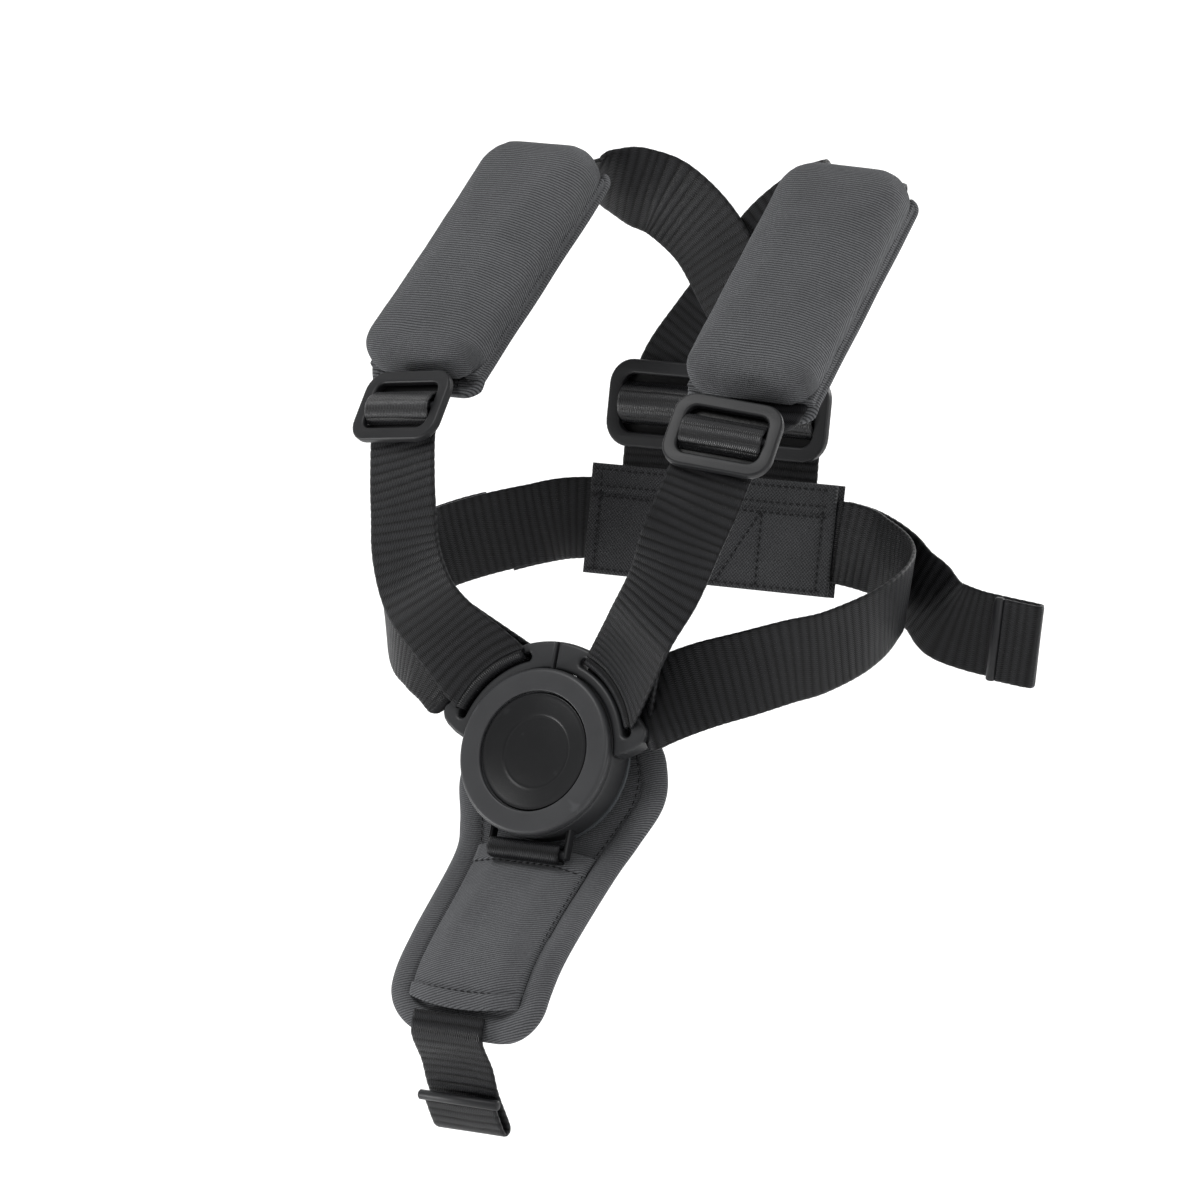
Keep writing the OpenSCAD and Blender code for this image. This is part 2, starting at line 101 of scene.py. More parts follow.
def flip(st):
    """Stations mirrored in X, with their width directions."""
    st = np.array(st, float)
    st[:, 0] *= -1
    st[:, 3] *= -1
    return st


def spline(q, n):
    """Catmull-Rom curve through all but the first and last of the keys, n points to a span."""
    out = []
    for i in range(len(q) - 3):
        a, b, c, d = q[i:i + 4]
        for t in np.arange(n) / n:
            out.append(0.5 * (2 * b + (c - a) * t + (2 * a - 5 * b + 4 * c - d) * t * t
                              + (3 * b - a - 3 * c + d) * t ** 3))
    return np.array(out)


def smooth(st, n=10):
    p = np.asarray(st, float)
    return np.vstack([spline(np.vstack([2 * p[0] - p[1], p, 2 * p[-1] - p[-2]]), n), p[-1]])


def run_length(p):
    """Distance along a polyline, at each of its points."""
    return np.r_[0, np.cumsum(np.linalg.norm(np.diff(p, axis=0), axis=1))]


def resample(p, step):
    d = run_length(p[:, :3])
    n = max(4, int(round(d[-1] / step)))
    s = np.linspace(0, d[-1], n + 1)
    return np.column_stack([np.interp(s, d, p[:, k]) for k in range(p.shape[1])]), s


def axes_of(p):
    """Centre line, its width directions and its normals."""
    c, w = p[:, :3], p[:, 3:6]
    t = np.gradient(c, axis=0)
    for _ in range(6):
        t[1:-1] = (t[:-2] + 2 * t[1:-1] + t[2:]) / 4
    t /= np.linalg.norm(t, axis=1)[:, None]
    w = w - (w * t).sum(1)[:, None] * t
    w /= np.linalg.norm(w, axis=1)[:, None]
    return c, w, np.cross(t, w)


# -------------------- mesh helpers
def get_co(me):
    co = np.zeros(len(me.vertices) * 3)
    me.vertices.foreach_get("co", co)
    return co.reshape(-1, 3)


def set_co(me, co):
    me.vertices.foreach_set("co", co.ravel())
    me.update()


def set_uv(me, uv):
    """uv holds one row for each vertex."""
    layer = me.uv_layers.get("UVMap") or me.uv_layers.new(name="UVMap")
    idx = np.zeros(len(me.loops), int)
    me.loops.foreach_get("vertex_index", idx)
    layer.data.foreach_set("uv", np.asarray(uv, float)[idx].ravel())


# a material's slot is its own name without Blender's number, apart from these
SLOTS = {"web_over_bar": "polyester_web", "thread_dark": "polyester_web", "knit_fine": "knit_fabric",
         "nylon_face": "nylon", "nylon_dark": "nylon"}


def build(name, verts_mm, faces, mat, body, replaces=(), uv=None, rib=None):
    """A mesh from layout coordinates, linked and told to the frame. It rides nothing where body is None."""
    v = np.asarray(verts_mm, float) + LAYOUT
    me = bpy.data.meshes.new(name)
    me.from_pydata((v * MM).tolist(), [], [list(map(int, f)) for f in faces])
    me.update()
    if uv is not None:
        set_uv(me, uv)
    if rib is not None:
        me.attributes.new("rib", "FLOAT", "POINT").data.foreach_set("value", np.asarray(rib, np.float32))
    me.polygons.foreach_set("use_smooth", [True] * len(me.polygons))
    ob = bpy.data.objects.new(name, me)
    bpy.context.scene.collection.objects.link(ob)
    me.materials.append(mat)
    if body:
        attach(ob, body)
    kind = mat.name.split(".")[0]
    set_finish(ob, SLOTS.get(kind, kind))
    if replaces:
        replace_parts(ob, *replaces)
    return ob


def grid_faces(n, m, tube=False):
    """Quads between n rows of m points. A tube's rows are rings."""
    f = []
    for i in range(n - 1):
        for j in range(m if tube else m - 1):
            k = (j + 1) % m
            f.append((i * m + j, i * m + k, (i + 1) * m + k, (i + 1) * m + j))
    return f


def tube_faces(n, m):
    """A tube of n rings with a cap on each end."""
    return grid_faces(n, m, True) + [tuple(range(m))[::-1], tuple(range((n - 1) * m, n * m))]


def apply_mods(ob):
    bpy.context.view_layer.update()
    deps = bpy.context.evaluated_depsgraph_get()
    me = bpy.data.meshes.new_from_object(ob.evaluated_get(deps))
    old = ob.data
    ob.modifiers.clear()
    ob.data = me
    bpy.data.meshes.remove(old)


def fix_normals(ob, weld=0.0):
    bm = bmesh.new()
    bm.from_mesh(ob.data)
    if weld:
        bmesh.ops.remove_doubles(bm, verts=bm.verts, dist=weld)
    bmesh.ops.recalc_face_normals(bm, faces=bm.faces)
    bm.to_mesh(ob.data)
    bm.free()


PITCH = 2.7         # mm between two ribs of the webbing
WEB_THICK = 1.2
WEB_COLUMNS = 17
HEAD_SKIP = 9.0     # mm of the route that a strap's head stands in for


def web(name, stations, body, mat=None, w=25.0, replaces=(), off=0.0, rib=0.2, step=PITCH / 8,
        head=None, seed=0, held="stretched", ends=(0, 0)):
    """A ribbed tape along the stations. head(u) gives rows of curved points that it starts from, and
    ends the radius of the corners at each end."""
    p, s = resample(smooth(stations), step)
    c, ww, nn = axes_of(p)
    c = c + off * nn
    g = np.random.default_rng(seed + 11)
    u = np.linspace(-1, 1, WEB_COLUMNS)
    u = np.sign(u) * (1 - (1 - np.abs(u)) ** 1.35)
    half = np.full(len(s), w / 2)
    for r, d in zip(ends, (s, s[-1] - s)):
        if r:
            half -= r - np.sqrt(np.clip(r * r - np.clip(r - d, 0, r) ** 2, 0, None))
    grid = c[:, None] + ww[:, None] * (half[:, None] * u)[:, :, None]
    if head is not None:
        rows = np.stack([head(x) for x in u], 1)
        skip = int(np.searchsorted(s, HEAD_SKIP))
        keys = np.concatenate([rows, grid[skip:skip + 1], grid[skip + 14:skip + 15]])
        grid = np.concatenate([spline(np.concatenate([2 * keys[:1] - keys[1:2], keys]), 12), grid[skip:]])
        d = run_length(grid[:, WEB_COLUMNS // 2])
        s = np.linspace(0, d[-1], max(4, int(round(d[-1] / step))) + 1)
        grid = np.stack([np.stack([np.interp(s, d, grid[:, a, b]) for b in range(3)], 1)
                         for a in range(WEB_COLUMNS)], 1)
    du = np.gradient(grid, axis=1)
    dv = np.gradient(grid, axis=0)
    normal = np.cross(dv, du)
    normal /= np.linalg.norm(normal, axis=2)[:, :, None]
    across = du / np.linalg.norm(du, axis=2)[:, :, None]
    # the ribs drift, lean and vary a little along the tape
    knots = np.arange(0, s[-1] + 2 * PITCH, PITCH)
    phase = s / PITCH + 0.10 * np.interp(s, knots[::6], g.normal(size=len(knots[::6])))
    strength = np.interp(s, knots, 1 + 0.2 * g.normal(size=len(knots)))
    tilt = 0.06 * np.interp(s, knots[::5], g.normal(size=len(knots[::5])))
    wave = 0.12 * np.interp(s, knots[::4], g.normal(size=len(knots[::4])))
    ph = phase[:, None] + tilt[:, None] * u + 0.04 * np.sin(3 * u + 1)
    h = np.abs(np.sin(np.pi * ph)) ** 0.5
    edge = np.clip((1 - np.abs(u)) / 0.05, 0, 1)
    ribs = rib * h * strength[:, None] * (0.5 + 0.5 * edge)
    thick = (WEB_THICK / 2 - rib * 0.7 + ribs) * (0.7 + 0.3 * edge)
    bow = wave[:, None] * (1 - u ** 2) * 0.8
    swell = 0.10 * (h - 0.5) * np.sign(u) * np.abs(u) ** 12
    top = grid + across * swell[:, :, None] + normal * (thick + bow)[:, :, None]
    bot = grid + across * swell[:, :, None] - normal * (thick - bow)[:, :, None]
    ring = np.concatenate([top, bot[:, ::-1]], 1)
    uv = np.stack(np.broadcast_arrays(w / 2 * u[None, :], s[:, None]), -1)
    uvr = np.concatenate([uv, uv[:, ::-1]], 1)
    # the rib height, stored for the material to paint shade into the grooves and highlight onto the rib tops
    rr = np.concatenate([h, h[:, ::-1]], 1)
    ob = build(name, ring.reshape(-1, 3), tube_faces(*ring.shape[:2]), mat or WEB, body, replaces,
               uv=uvr.reshape(-1, 2) / 10, rib=rr.reshape(-1))
    fix_normals(ob)
    return ob


STITCH, STITCH_GAP = 1.5, 0.8
LENS = ((0, 0.15), (0.2, 0.85), (0.5, 1.0), (0.8, 0.85), (1, 0.15))      # a stitch's thickness along it


def stitches(name, lines, body, r, lift):
    """Small lens-shaped threads along each line, which is points and normals in layout mm."""
    verts, faces, sides = [], [], 6
    for pts, nrm in lines:
        d = run_length(pts)
        for s0 in np.arange(0.4, d[-1] - STITCH, STITCH + STITCH_GAP):
            a, b = (np.array([np.interp(x, d, pts[:, k]) for k in range(3)]) for x in (s0, s0 + STITCH))
            nn = unit([np.interp(s0, d, nrm[:, k]) for k in range(3)])
            across = np.cross(nn, unit(b - a))
            base = len(verts)
            for q, h in LENS:
                for an in np.arange(sides) * 2 * math.pi / sides:
                    ring = across * math.cos(an) + nn * math.sin(an)
                    verts.append(a + (b - a) * q + nn * (lift * h) + ring * r * max(h, 0.35))
            faces += [tuple(base + v for v in f) for f in tube_faces(len(LENS), sides)]
    fix_normals(build(name, verts, faces, THREAD, body))


# -------------------- frames
class Frame:
    """Local axes: calling it carries local mm into layout mm."""

    def __init__(self, at, x, up=None, z=None):
        self.o = np.asarray(at, float)
        self.x = unit(x)
        if z is None:
            up = np.asarray(up, float)
            self.y = unit(up - (up @ self.x) * self.x)
            self.z = np.cross(self.x, self.y)
        else:
            self.z = unit(z)
            self.y = np.cross(self.z, self.x)

    def __call__(self, pts):
        pts = np.asarray(pts, float)
        return self.o + pts[..., 0:1] * self.x + pts[..., 1:2] * self.y + pts[..., 2:3] * self.z


def mirrored(ob):
    """The left-hand copy of a right-hand piece: its mesh, body, slot and nodes."""
    def left(word):
        return word.replace("right_", "left_")
    me = ob.data.copy()
    set_co(me, get_co(me) * np.array([-1, 1, 1]))
    me.flip_normals()
    o2 = bpy.data.objects.new(left(ob.name), me)
    bpy.context.scene.collection.objects.link(o2)
    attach(o2, left(ob["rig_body"]))
    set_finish(o2, ob["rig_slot"])
    nodes = [left(n) for n in ob.get("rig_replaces", ()) if n.startswith("right_")]
    if nodes:
        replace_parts(o2, *nodes)
    return o2


# -------------------- materials
def new_mat(name):
    m = bpy.data.materials.new(name)
    m.use_nodes = True
    nt = m.node_tree
    nt.nodes.clear()
    out = nt.nodes.new("ShaderNodeOutputMaterial")
    bs = nt.nodes.new("ShaderNodeBsdfPrincipled")
    nt.links.new(bs.outputs[0], out.inputs[0])
    return m, nt, bs


def node(nt, kind, **kw):
    n = nt.nodes.new("ShaderNode" + kind)
    for k, v in kw.items():
        setattr(n, k, v)
    return n


def feed(nt, sock, v):
    """Link an output to a socket, or set a constant on it. Three numbers are a colour."""
    if hasattr(v, "links"):
        nt.links.new(v, sock)
    else:
        sock.default_value = (*v, 1) if isinstance(v, tuple) else v


def feed_all(nt, n, values):
    for key, v in values.items():
        feed(nt, n.inputs[key], v)


def calc(nt, op, *values):
    n = node(nt, "Math", operation=op)
    for sock, v in zip(n.inputs, values):
        feed(nt, sock, v)
    return n.outputs[0]


def mul(nt, a, b):
    return calc(nt, "MULTIPLY", a, b)


def add(nt, a, b):
    return calc(nt, "ADD", a, b)


def ripple(nt, x, period):
    """0 to 1 and back, once in each period."""
    return calc(nt, "ABSOLUTE", calc(nt, "SINE", mul(nt, x, math.pi / period)))


def mix_col(nt, fac, a, b):
    n = node(nt, "Mix", data_type="RGBA")
    feed_all(nt, n, {0: fac, 6: a, 7: b})
    return n.outputs[2]


def noise(nt, scale, detail=3.0, rough=0.6):
    n = node(nt, "TexNoise")
    where = node(nt, "TexCoord").outputs["Object"]
    feed_all(nt, n, {"Scale": scale, "Detail": detail, "Roughness": rough, "Vector": where})
    return n.outputs[0]


def bump(nt, bs, height, dist, strength):
    b = node(nt, "Bump")
    feed_all(nt, b, {"Distance": dist, "Strength": strength, "Height": height})
    nt.links.new(b.outputs[0], bs.inputs["Normal"])


def uv_mm(nt):
    """u across and v along, in mm (the mesh stores cm)."""
    sep = node(nt, "SeparateXYZ")
    nt.links.new(node(nt, "UVMap", uv_map="UVMap").outputs[0], sep.inputs[0])
    return mul(nt, sep.outputs[0], 10.0), mul(nt, sep.outputs[1], 10.0)


def web_material(name, base, light, rough=0.42, spec=0.2):
    """Ribbed polyester: rows of warp threads over the ribs, which the mesh has as an attribute. The colour
    carries painted shade, darker in the grooves between ribs and between threads, and lighter on the rib
    tops as painted highlight.
    """
    m, nt, bs = new_mat(name)
    u, v = uv_mm(nt)
    rib = node(nt, "Attribute", attribute_name="rib").outputs["Fac"]
    row = calc(nt, "FLOOR", calc(nt, "DIVIDE", v, PITCH / 2))
    shift = mul(nt, calc(nt, "MODULO", row, 2.0), 0.5)
    warp = ripple(nt, add(nt, calc(nt, "DIVIDE", u, 0.62), shift), 1.0)
    fuzz = noise(nt, 900.0, 4.0)
    slow = noise(nt, 60.0, 2.0)
    bump(nt, bs, add(nt, mul(nt, warp, 0.7), mul(nt, fuzz, 0.5)), 0.00022, 0.75)
    # painted shade and highlight: the rib attribute darkens the colour into the grooves and lightens it on
    # the rib tops, and the warp rows darken it between threads
    shade = mul(nt, calc(nt, "POWER", rib, 2.2), add(nt, mul(nt, slow, 0.8), 0.55))
    shade = mul(nt, shade, add(nt, mul(nt, warp, 0.35), 0.65))
    feed_all(nt, bs, {"Base Color": mix_col(nt, shade, base, light),
                      "Roughness": add(nt, mul(nt, fuzz, 0.2), rough - 0.1),
                      "Specular IOR Level": spec, "Sheen Weight": 0.02, "Sheen Roughness": 0.4,
                      "Sheen Tint": (0.75, 0.78, 0.82)})
    return m


def knit_material(name, dark, light, pitch, depth, skew=0.0):
    """Fine ribs of knitted cloth, one to each pitch in mm, with painted shade that darkens the colour into
    the troughs between them.
    """
    m, nt, bs = new_mat(name)
    u, v = uv_mm(nt)
    vv = add(nt, v, mul(nt, noise(nt, 140.0, 2.0), 0.5))
    vv = add(nt, vv, mul(nt, u, skew))
    line = calc(nt, "POWER", ripple(nt, vv, pitch), 0.9)
    fuzz = noise(nt, 1400.0, 5.0, 0.7)
    slow = noise(nt, 35.0)
    h = add(nt, line, mul(nt, ripple(nt, u, 0.8), 0.22))
    bump(nt, bs, add(nt, h, mul(nt, fuzz, 0.45)), depth, 0.8)
    # painted shade: the colour falls to dark in the troughs between the ribs
    f = mul(nt, line, add(nt, mul(nt, fuzz, 0.9), 0.35))
    f = mul(nt, f, add(nt, mul(nt, slow, 0.6), 0.6))
    feed_all(nt, bs, {"Base Color": mix_col(nt, f, dark, light), "Roughness": 0.85,
                      "Specular IOR Level": 0.12, "Sheen Weight": 0.06, "Sheen Roughness": 0.5,
                      "Sheen Tint": (0.8, 0.82, 0.86)})
    return m


def canvas_material(name, dark, light, thread=1.15):
    m, nt, bs = new_mat(name)
    over, under = (calc(nt, "SINE", mul(nt, x, 2 * math.pi / thread)) for x in uv_mm(nt))
    weave = add(nt, mul(nt, mul(nt, over, under), 0.5), 0.5)
    fuzz = noise(nt, 1200.0, 5.0, 0.7)
    slow = noise(nt, 50.0)
    bump(nt, bs, add(nt, weave, mul(nt, fuzz, 0.7)), 0.0005, 0.9)
    f = mul(nt, add(nt, mul(nt, weave, 0.5), mul(nt, fuzz, 0.5)), add(nt, mul(nt, slow, 0.6), 0.6))
    feed_all(nt, bs, {"Base Color": mix_col(nt, f, dark, light), "Roughness": 0.8,
                      "Specular IOR Level": 0.15, "Sheen Weight": 0.03})
    return m


def plastic_material(name, dark, light, rough=0.45, spec=0.32):
    """Moulded plastic with a fine grain, a little lighter on its convex edges."""
    m, nt, bs = new_mat(name)
    slow = noise(nt, 45.0)
    bump(nt, bs, noise(nt, 2600.0), 0.00004, 0.8)
    convex_edge = node(nt, "MapRange")
    point = node(nt, "NewGeometry").outputs["Pointiness"]
    feed_all(nt, convex_edge, {"From Min": 0.50, "From Max": 0.60, "Value": point})
    c = mix_col(nt, slow, dark, light)
    c = mix_col(nt, mul(nt, convex_edge.outputs[0], 0.5), c, tuple(x * 1.7 for x in light))
    feed_all(nt, bs, {"Base Color": c, "Roughness": add(nt, mul(nt, slow, 0.16), rough - 0.08),
                      "Specular IOR Level": spec})
    return m


def steel_material():
    m, nt, bs = new_mat("steel")
    grain = noise(nt, 700.0)
    bump(nt, bs, grain, 0.00002, 0.6)
    feed_all(nt, bs, {"Base Color": mix_col(nt, grain, (0.3, 0.3, 0.31), (0.55, 0.55, 0.57)),
                      "Metallic": 1.0, "Roughness": 0.32})
    return m


WEB = web_material("polyester_web", (0.0003, 0.0003, 0.0004), (0.0102, 0.0104, 0.0115), spec=0.13)
# a lighter copy of the web for its folds over bars: the lighter colour is painted highlight
WEB_PAINTED_HIGHLIGHT = web_material("web_over_bar", (0.001, 0.001, 0.0012), (0.010, 0.0102, 0.0112),
                          rough=0.34, spec=0.3)
KNIT = knit_material("knit_fabric", (0.006, 0.0062, 0.0068), (0.103, 0.105, 0.110), 0.9, 0.0004)
KNIT_FINE = knit_material("knit_fine", (0.011, 0.0112, 0.0122), (0.099, 0.101, 0.106), 0.72, 0.0002,
                          skew=0.35)
CANVAS = canvas_material("canvas", (0.0012, 0.0012, 0.0014), (0.052, 0.053, 0.056))
THREAD = canvas_material("thread_dark", (0.001, 0.001, 0.0012), (0.010, 0.010, 0.011))
NYLON = plastic_material("nylon", (0.008, 0.0082, 0.009), (0.0155, 0.016, 0.017), spec=0.22)
# a lighter copy of the nylon for the buckle ring's front face: painted light
NYLON_LIT = plastic_material("nylon_face", (0.014, 0.0142, 0.0152), (0.024, 0.0245, 0.026), spec=0.24)
# a darker copy of the nylon: painted shade for the rods, pins, arms and bars tucked into folds and under the
# buckle; the adjuster and slider frames take it too
NYLON_PAINTED_SHADE = plastic_material("nylon_dark", (0.0035, 0.0036, 0.004), (0.008, 0.0082, 0.009), spec=0.2)
GLOSS = plastic_material("button_plastic", (0.004, 0.0041, 0.0045), (0.0075, 0.0077, 0.0082),
                         rough=0.36, spec=0.14)
STEEL = steel_material()

# -------------------- routes
# A station is a point of the centre line and the direction of the tape's width there, in layout mm.
# The left side's routes are the right side's, flipped.
FRONT = [
    [23.5, -95.6, -28.6, 0.72, -0.25, -0.65], [28, -99.5, -23.5, 0.78, -0.2, -0.58],
    [37, -104.5, -10, 0.90, -0.05, -0.42], [44, -103, 3, 0.94, 0.05, -0.33],
    [48, -99.5, 17, 0.95, 0.1, -0.28], [51, -95.5, 27, 0.97, 0.14, -0.2],
    [53, -91, 36.4, 0.98, 0.17, -0.14], [54.2, -86.6, 42, 0.98, 0.17, -0.115],
    [56.2, -79.5, 47, 0.985, 0.15, -0.06], [58.6, -72.9, 49, 0.995, 0.105, 0],
    [58, -66, 54.8, 0.995, 0.105, 0]]
PAD_LOW, PAD_HIGH = np.array([58, -66, 54.8]), np.array([52.8, -3, 108])
PAD_ACROSS = np.array([0.995, 0.105, 0])


def back_route(lane):
    """Over the shoulder to the panel. lane keeps the two straps apart where they cross."""
    return [[52.8, -3, 108, 0.995, 0.1, 0], [51.6, 2, 108.9, 0.985, 0.07, -0.02],
            [48, 7.3, 106, 0.98, -0.02, -0.06], [41.5, 10.8, 103.6, 0.95, -0.1, -0.16],
            [32.5, 13.6, 101.2, 0.92, -0.2, -0.31], [23.5, 15.6 + lane / 2, 97.8, 0.87, -0.2, -0.44],
            [11, 16 + lane, 88, 0.83, -0.11, -0.54], [0, 13.9 + lane, 73.5, 0.83, -0.11, -0.54],
            [-10, 11.4 + lane, 60, 0.86, -0.1, -0.5], [-17.5, 9.1, 48, 0.94, -0.06, -0.34],
            [-21, 7.6, 36.5, 1, -0.02, -0.1], [-21.5, 5.1, 20, 1, 0, 0],
            [-21.5, 3.9, 12.5, 1, 0, 0], [-21.5, 2.5, 5, 1, 0, 0]]


BELT = [[0, 0, 0, 0, 0.19, 0.98], [43, 0, 0, 0, 0.19, 0.98], [62, -3, -3.3, 0.05, -0.05, 0.99],
        [76, -15, -7, 0.12, 0, 1], [82.5, -31, -10.5, 0.2, 0.03, 0.98], [82, -48, -15.5, 0.2, 0.03, 0.98],
        [76, -65, -20, 0.15, 0, 0.98], [69, -75, -22, 0.1, 0, 0.98], [60, -83.5, -25, 0.05, 0.03, 0.98],
        [50, -89.5, -28.2, 0, 0.1, 0.98], [40.5, -92.6, -32.3, -0.15, 0.18, 0.94],
        [33.5, -94, -36.5, -0.35, 0.3, 0.87]]
ROOT = [[44, 2, -0.3, 0, 0.19, 0.98], [54, 1.2, -1.6, 0.02, 0.05, 0.98],
        [63, -1, -3.8, 0.05, -0.03, 0.99], [70.5, -6, -5.9, 0.1, 0, 0.99]]
FLAP, FOLD_R, ROD_R = 9.5, 1.7, 1.5     # a hem's length and radius, and the rod in it


def fold(end, along, out, w):
    """The hem at a strap's end, turned back over its rod."""
    at, along, out = map(np.asarray, (end, along, out))
    return [np.r_[at, w], np.r_[at + FOLD_R * (along + out), w],
            np.r_[at + 2 * FOLD_R * out, w], np.r_[at + 2 * FOLD_R * out - FLAP * along, w]]


RIGHT_HEM = dict(end=[113, -4.5, -24], along=unit([0.99, 0.08, -0.12]), out=unit([0.08, -1, 0]),
                 w=[0.12, 0, 0.99])
LEFT_HEM = dict(end=[86.3, -44, -15.4], along=unit([0, -0.95, -0.3]), out=np.array([1.0, 0, 0]),
                w=[0.19, -0.29, 0.93])
TAIL_HEM = dict(end=[-3, -132.2, -156], along=unit([0, 0.5, -0.86]), out=unit([0, -0.86, -0.5]),
                w=[1, 0, 0])
ANCHOR_OUT = [[69, -3.5, -6.2, 0.08, 0, 0.99], [74.4, -6, -9.9, 0.13, 0.01, 0.99],
              [79, -7.4, -13, 0.2, 0.06, 0.97], [85, -8.8, -18, 0.22, 0.05, 0.97],
              [93, -7, -21, 0.12, 0, 0.99], [103, -5.5, -22.7, 0.12, 0, 0.99]]
ANCHOR_IN = [[72.8, -8.2, -5.6, 0.1, 0, 1], [79, -15, -7.5, 0.12, 0, 1], [84, -25, -10, 0.16, 0.02, 0.98],
             [86, -33, -12.4, 0.18, 0.03, 0.98]]

# -------------------- webs
# under the pad the strap runs straight; close stations keep the curve from overshooting
under_pad = [np.r_[PAD_LOW + q * (PAD_HIGH - PAD_LOW), PAD_ACROSS] for q in (0.12, 0.5, 0.82, 0.93)]
FRONT_R = [list(p) for p in FRONT]
FRONT_R[2][3:], FRONT_R[3][3:] = [0.88, -0.25, -0.40], [0.93, -0.1, -0.33]
FRONT_L = [list(p) for p in FRONT]
for k, dx in ((2, 0.9), (3, 0.4), (4, -0.3), (5, -0.5)):
    FRONT_L[k][0] += dx
LANE = 1.1
PUCK = Frame([0, -104.5, -50.4], (1, 0, 0), z=(0, -0.93358, 0.35837))     # the buckle's axes
# (radius, height) of a strap's end from inside the tongue's slot to the rim, before and behind the tongue
SLOT_FRONT = [(29.7, -6.5), (29.7, -3.8), (30.2, -2.6), (31.3, -2.1), (33.4, -1.6)]
SLOT_BACK = [(29.9, -6.5), (30.0, -9.0), (31.0, -10.6), (33.2, -10.6), (34.6, -8.5)]


def slot_head(keys, mirrored):
    """The strap's end follows the tongue's arc slot, which spans 20 to 69 degrees."""
    def head(u):
        a = math.radians(44.5 - 24.5 * u)
        pts = PUCK([[r * math.cos(a), r * math.sin(a), z] for r, z in keys])
        return pts * np.array([-1, 1, 1]) if mirrored else pts
    return head


web("right_shoulder_strap", (FRONT_R + under_pad + back_route(LANE))[1:], "harness",
    replaces=["right_shoulder_web", "right_tongue_loop"], head=slot_head(SLOT_FRONT, False), seed=1)
web("left_shoulder_strap", flip(FRONT_L + under_pad + back_route(-LANE))[1:], "harness",
    replaces=["left_shoulder_web", "left_tongue_loop"], head=slot_head(SLOT_FRONT, True), seed=2)
RETURN = dict(w=23.4, ends=(0, 3))
web("right_return_strap", FRONT_R[1:5], "harness", off=1.35, replaces=["right_return_web"],
    head=slot_head(SLOT_BACK, False), seed=3, **RETURN)
web("left_return_strap", flip(FRONT_L[1:5]), "harness", off=-1.35, replaces=["left_return_web"],
    head=slot_head(SLOT_BACK, True), seed=4, **RETURN)
HALF = np.vstack([BELT, np.r_[PUCK([30.2, 15.0, -6.2]), -0.42, 0.33, 0.85]])
HALF_L = HALF.copy()
HALF_L[-4:, 2] += [1.0, 2.0, 2.5, 1.5]      # the left end sits a little higher
web("waist_strap", np.vstack([flip(HALF_L)[:0:-1], HALF]), "harness", replaces=["waist_belt"], seed=5,
    ends=(3.5, 3.5))
web("left_anchor_base", flip(ROOT), "harness", replaces=["left_anchor_root"], seed=7)
right_anchor = web("right_anchor_strap", ROOT[:3] + ANCHOR_OUT + fold(**RIGHT_HEM), None,
                   replaces=["right_anchor_root", "right_anchor_web"], seed=8)
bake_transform(right_anchor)
web("left_anchor_strap", flip(ANCHOR_IN + fold(**LEFT_HEM)), "left_anchor",
    replaces=["left_anchor_web"], seed=9)


def side(points, x=0.0):
    """Stations in a plane of constant x, with the width across it."""
    return [[x, y, z, 1, 0, 0] for y, z in points]


CROTCH_W = 24
CROTCH = [[-107.6, -84.6], [-112.7, -88.1], [-119.6, -93.6], [-128.5, -101.1], [-138.8, -110.6],
          [-144, -118.5]]
TAIL = [[-145.6, -121.2], [-147.2, -128], [-141.7, -137.2], [-138.4, -145.4]]
web("crotch_strap", side(CROTCH), "crotch", w=CROTCH_W, off=-1.2, replaces=["crotch_web"], seed=10)
web("crotch_tail", side(TAIL, -3) + fold(**TAIL_HEM), "crotch_tail", w=CROTCH_W,
    replaces=["crotch_tail_web"], seed=11)


def rod(name, hem, body, replaced, mirrored=False, half=13.6):
    """The plastic rod that lies past the end of a hem's flap."""
    c = np.asarray(hem["end"], float) + 2 * FOLD_R * hem["out"] - (FLAP + ROD_R + 0.1) * hem["along"]
    ax = unit(hem["w"])
    x = unit(np.cross(ax, hem["out"]))
    y = np.cross(ax, x)
    chamfer, tip, segs = 0.4, 1.1, 24
    prof = [(0.01, -half), (tip, -half), (ROD_R, chamfer - half),
            (ROD_R, half - chamfer), (tip, half), (0.01, half)]
    verts = np.array([c + ax * z + (x * math.cos(a) + y * math.sin(a)) * r
                      for r, z in prof for a in np.linspace(0, 2 * math.pi, segs, endpoint=False)])
    if mirrored:
        verts[:, 0] *= -1
    fix_normals(build(name, verts, grid_faces(len(prof), segs, True), NYLON_PAINTED_SHADE, body, [replaced]))


rod("right_anchor_pin", RIGHT_HEM, "right_anchor", "right_anchor_rod", half=12.7)
rod("left_anchor_pin", LEFT_HEM, "left_anchor", "left_anchor_rod", True)
rod("crotch_tail_pin", TAIL_HEM, "crotch_tail", "crotch_tail_rod")


# -------------------- buckle
def arc(cx, cy, r, a0, a1, n=6):
    return [(cx + r * math.cos(math.radians(a)), cy + r * math.sin(math.radians(a)))
            for a in np.linspace(a0, a1, n)]


def lathe(name, prof, body, mat, replaces=(), segs=144):
    """A profile of (radius, height) turned about the buckle's axis."""
    verts = [[max(r, 0.001) * math.cos(a), max(r, 0.001) * math.sin(a), z]
             for r, z in prof for a in np.linspace(0, 2 * math.pi, segs, endpoint=False)]
    ob = build(name, PUCK(verts), grid_faces(len(prof), segs, True), mat, body, replaces)
    fix_normals(ob, weld=0.00002)


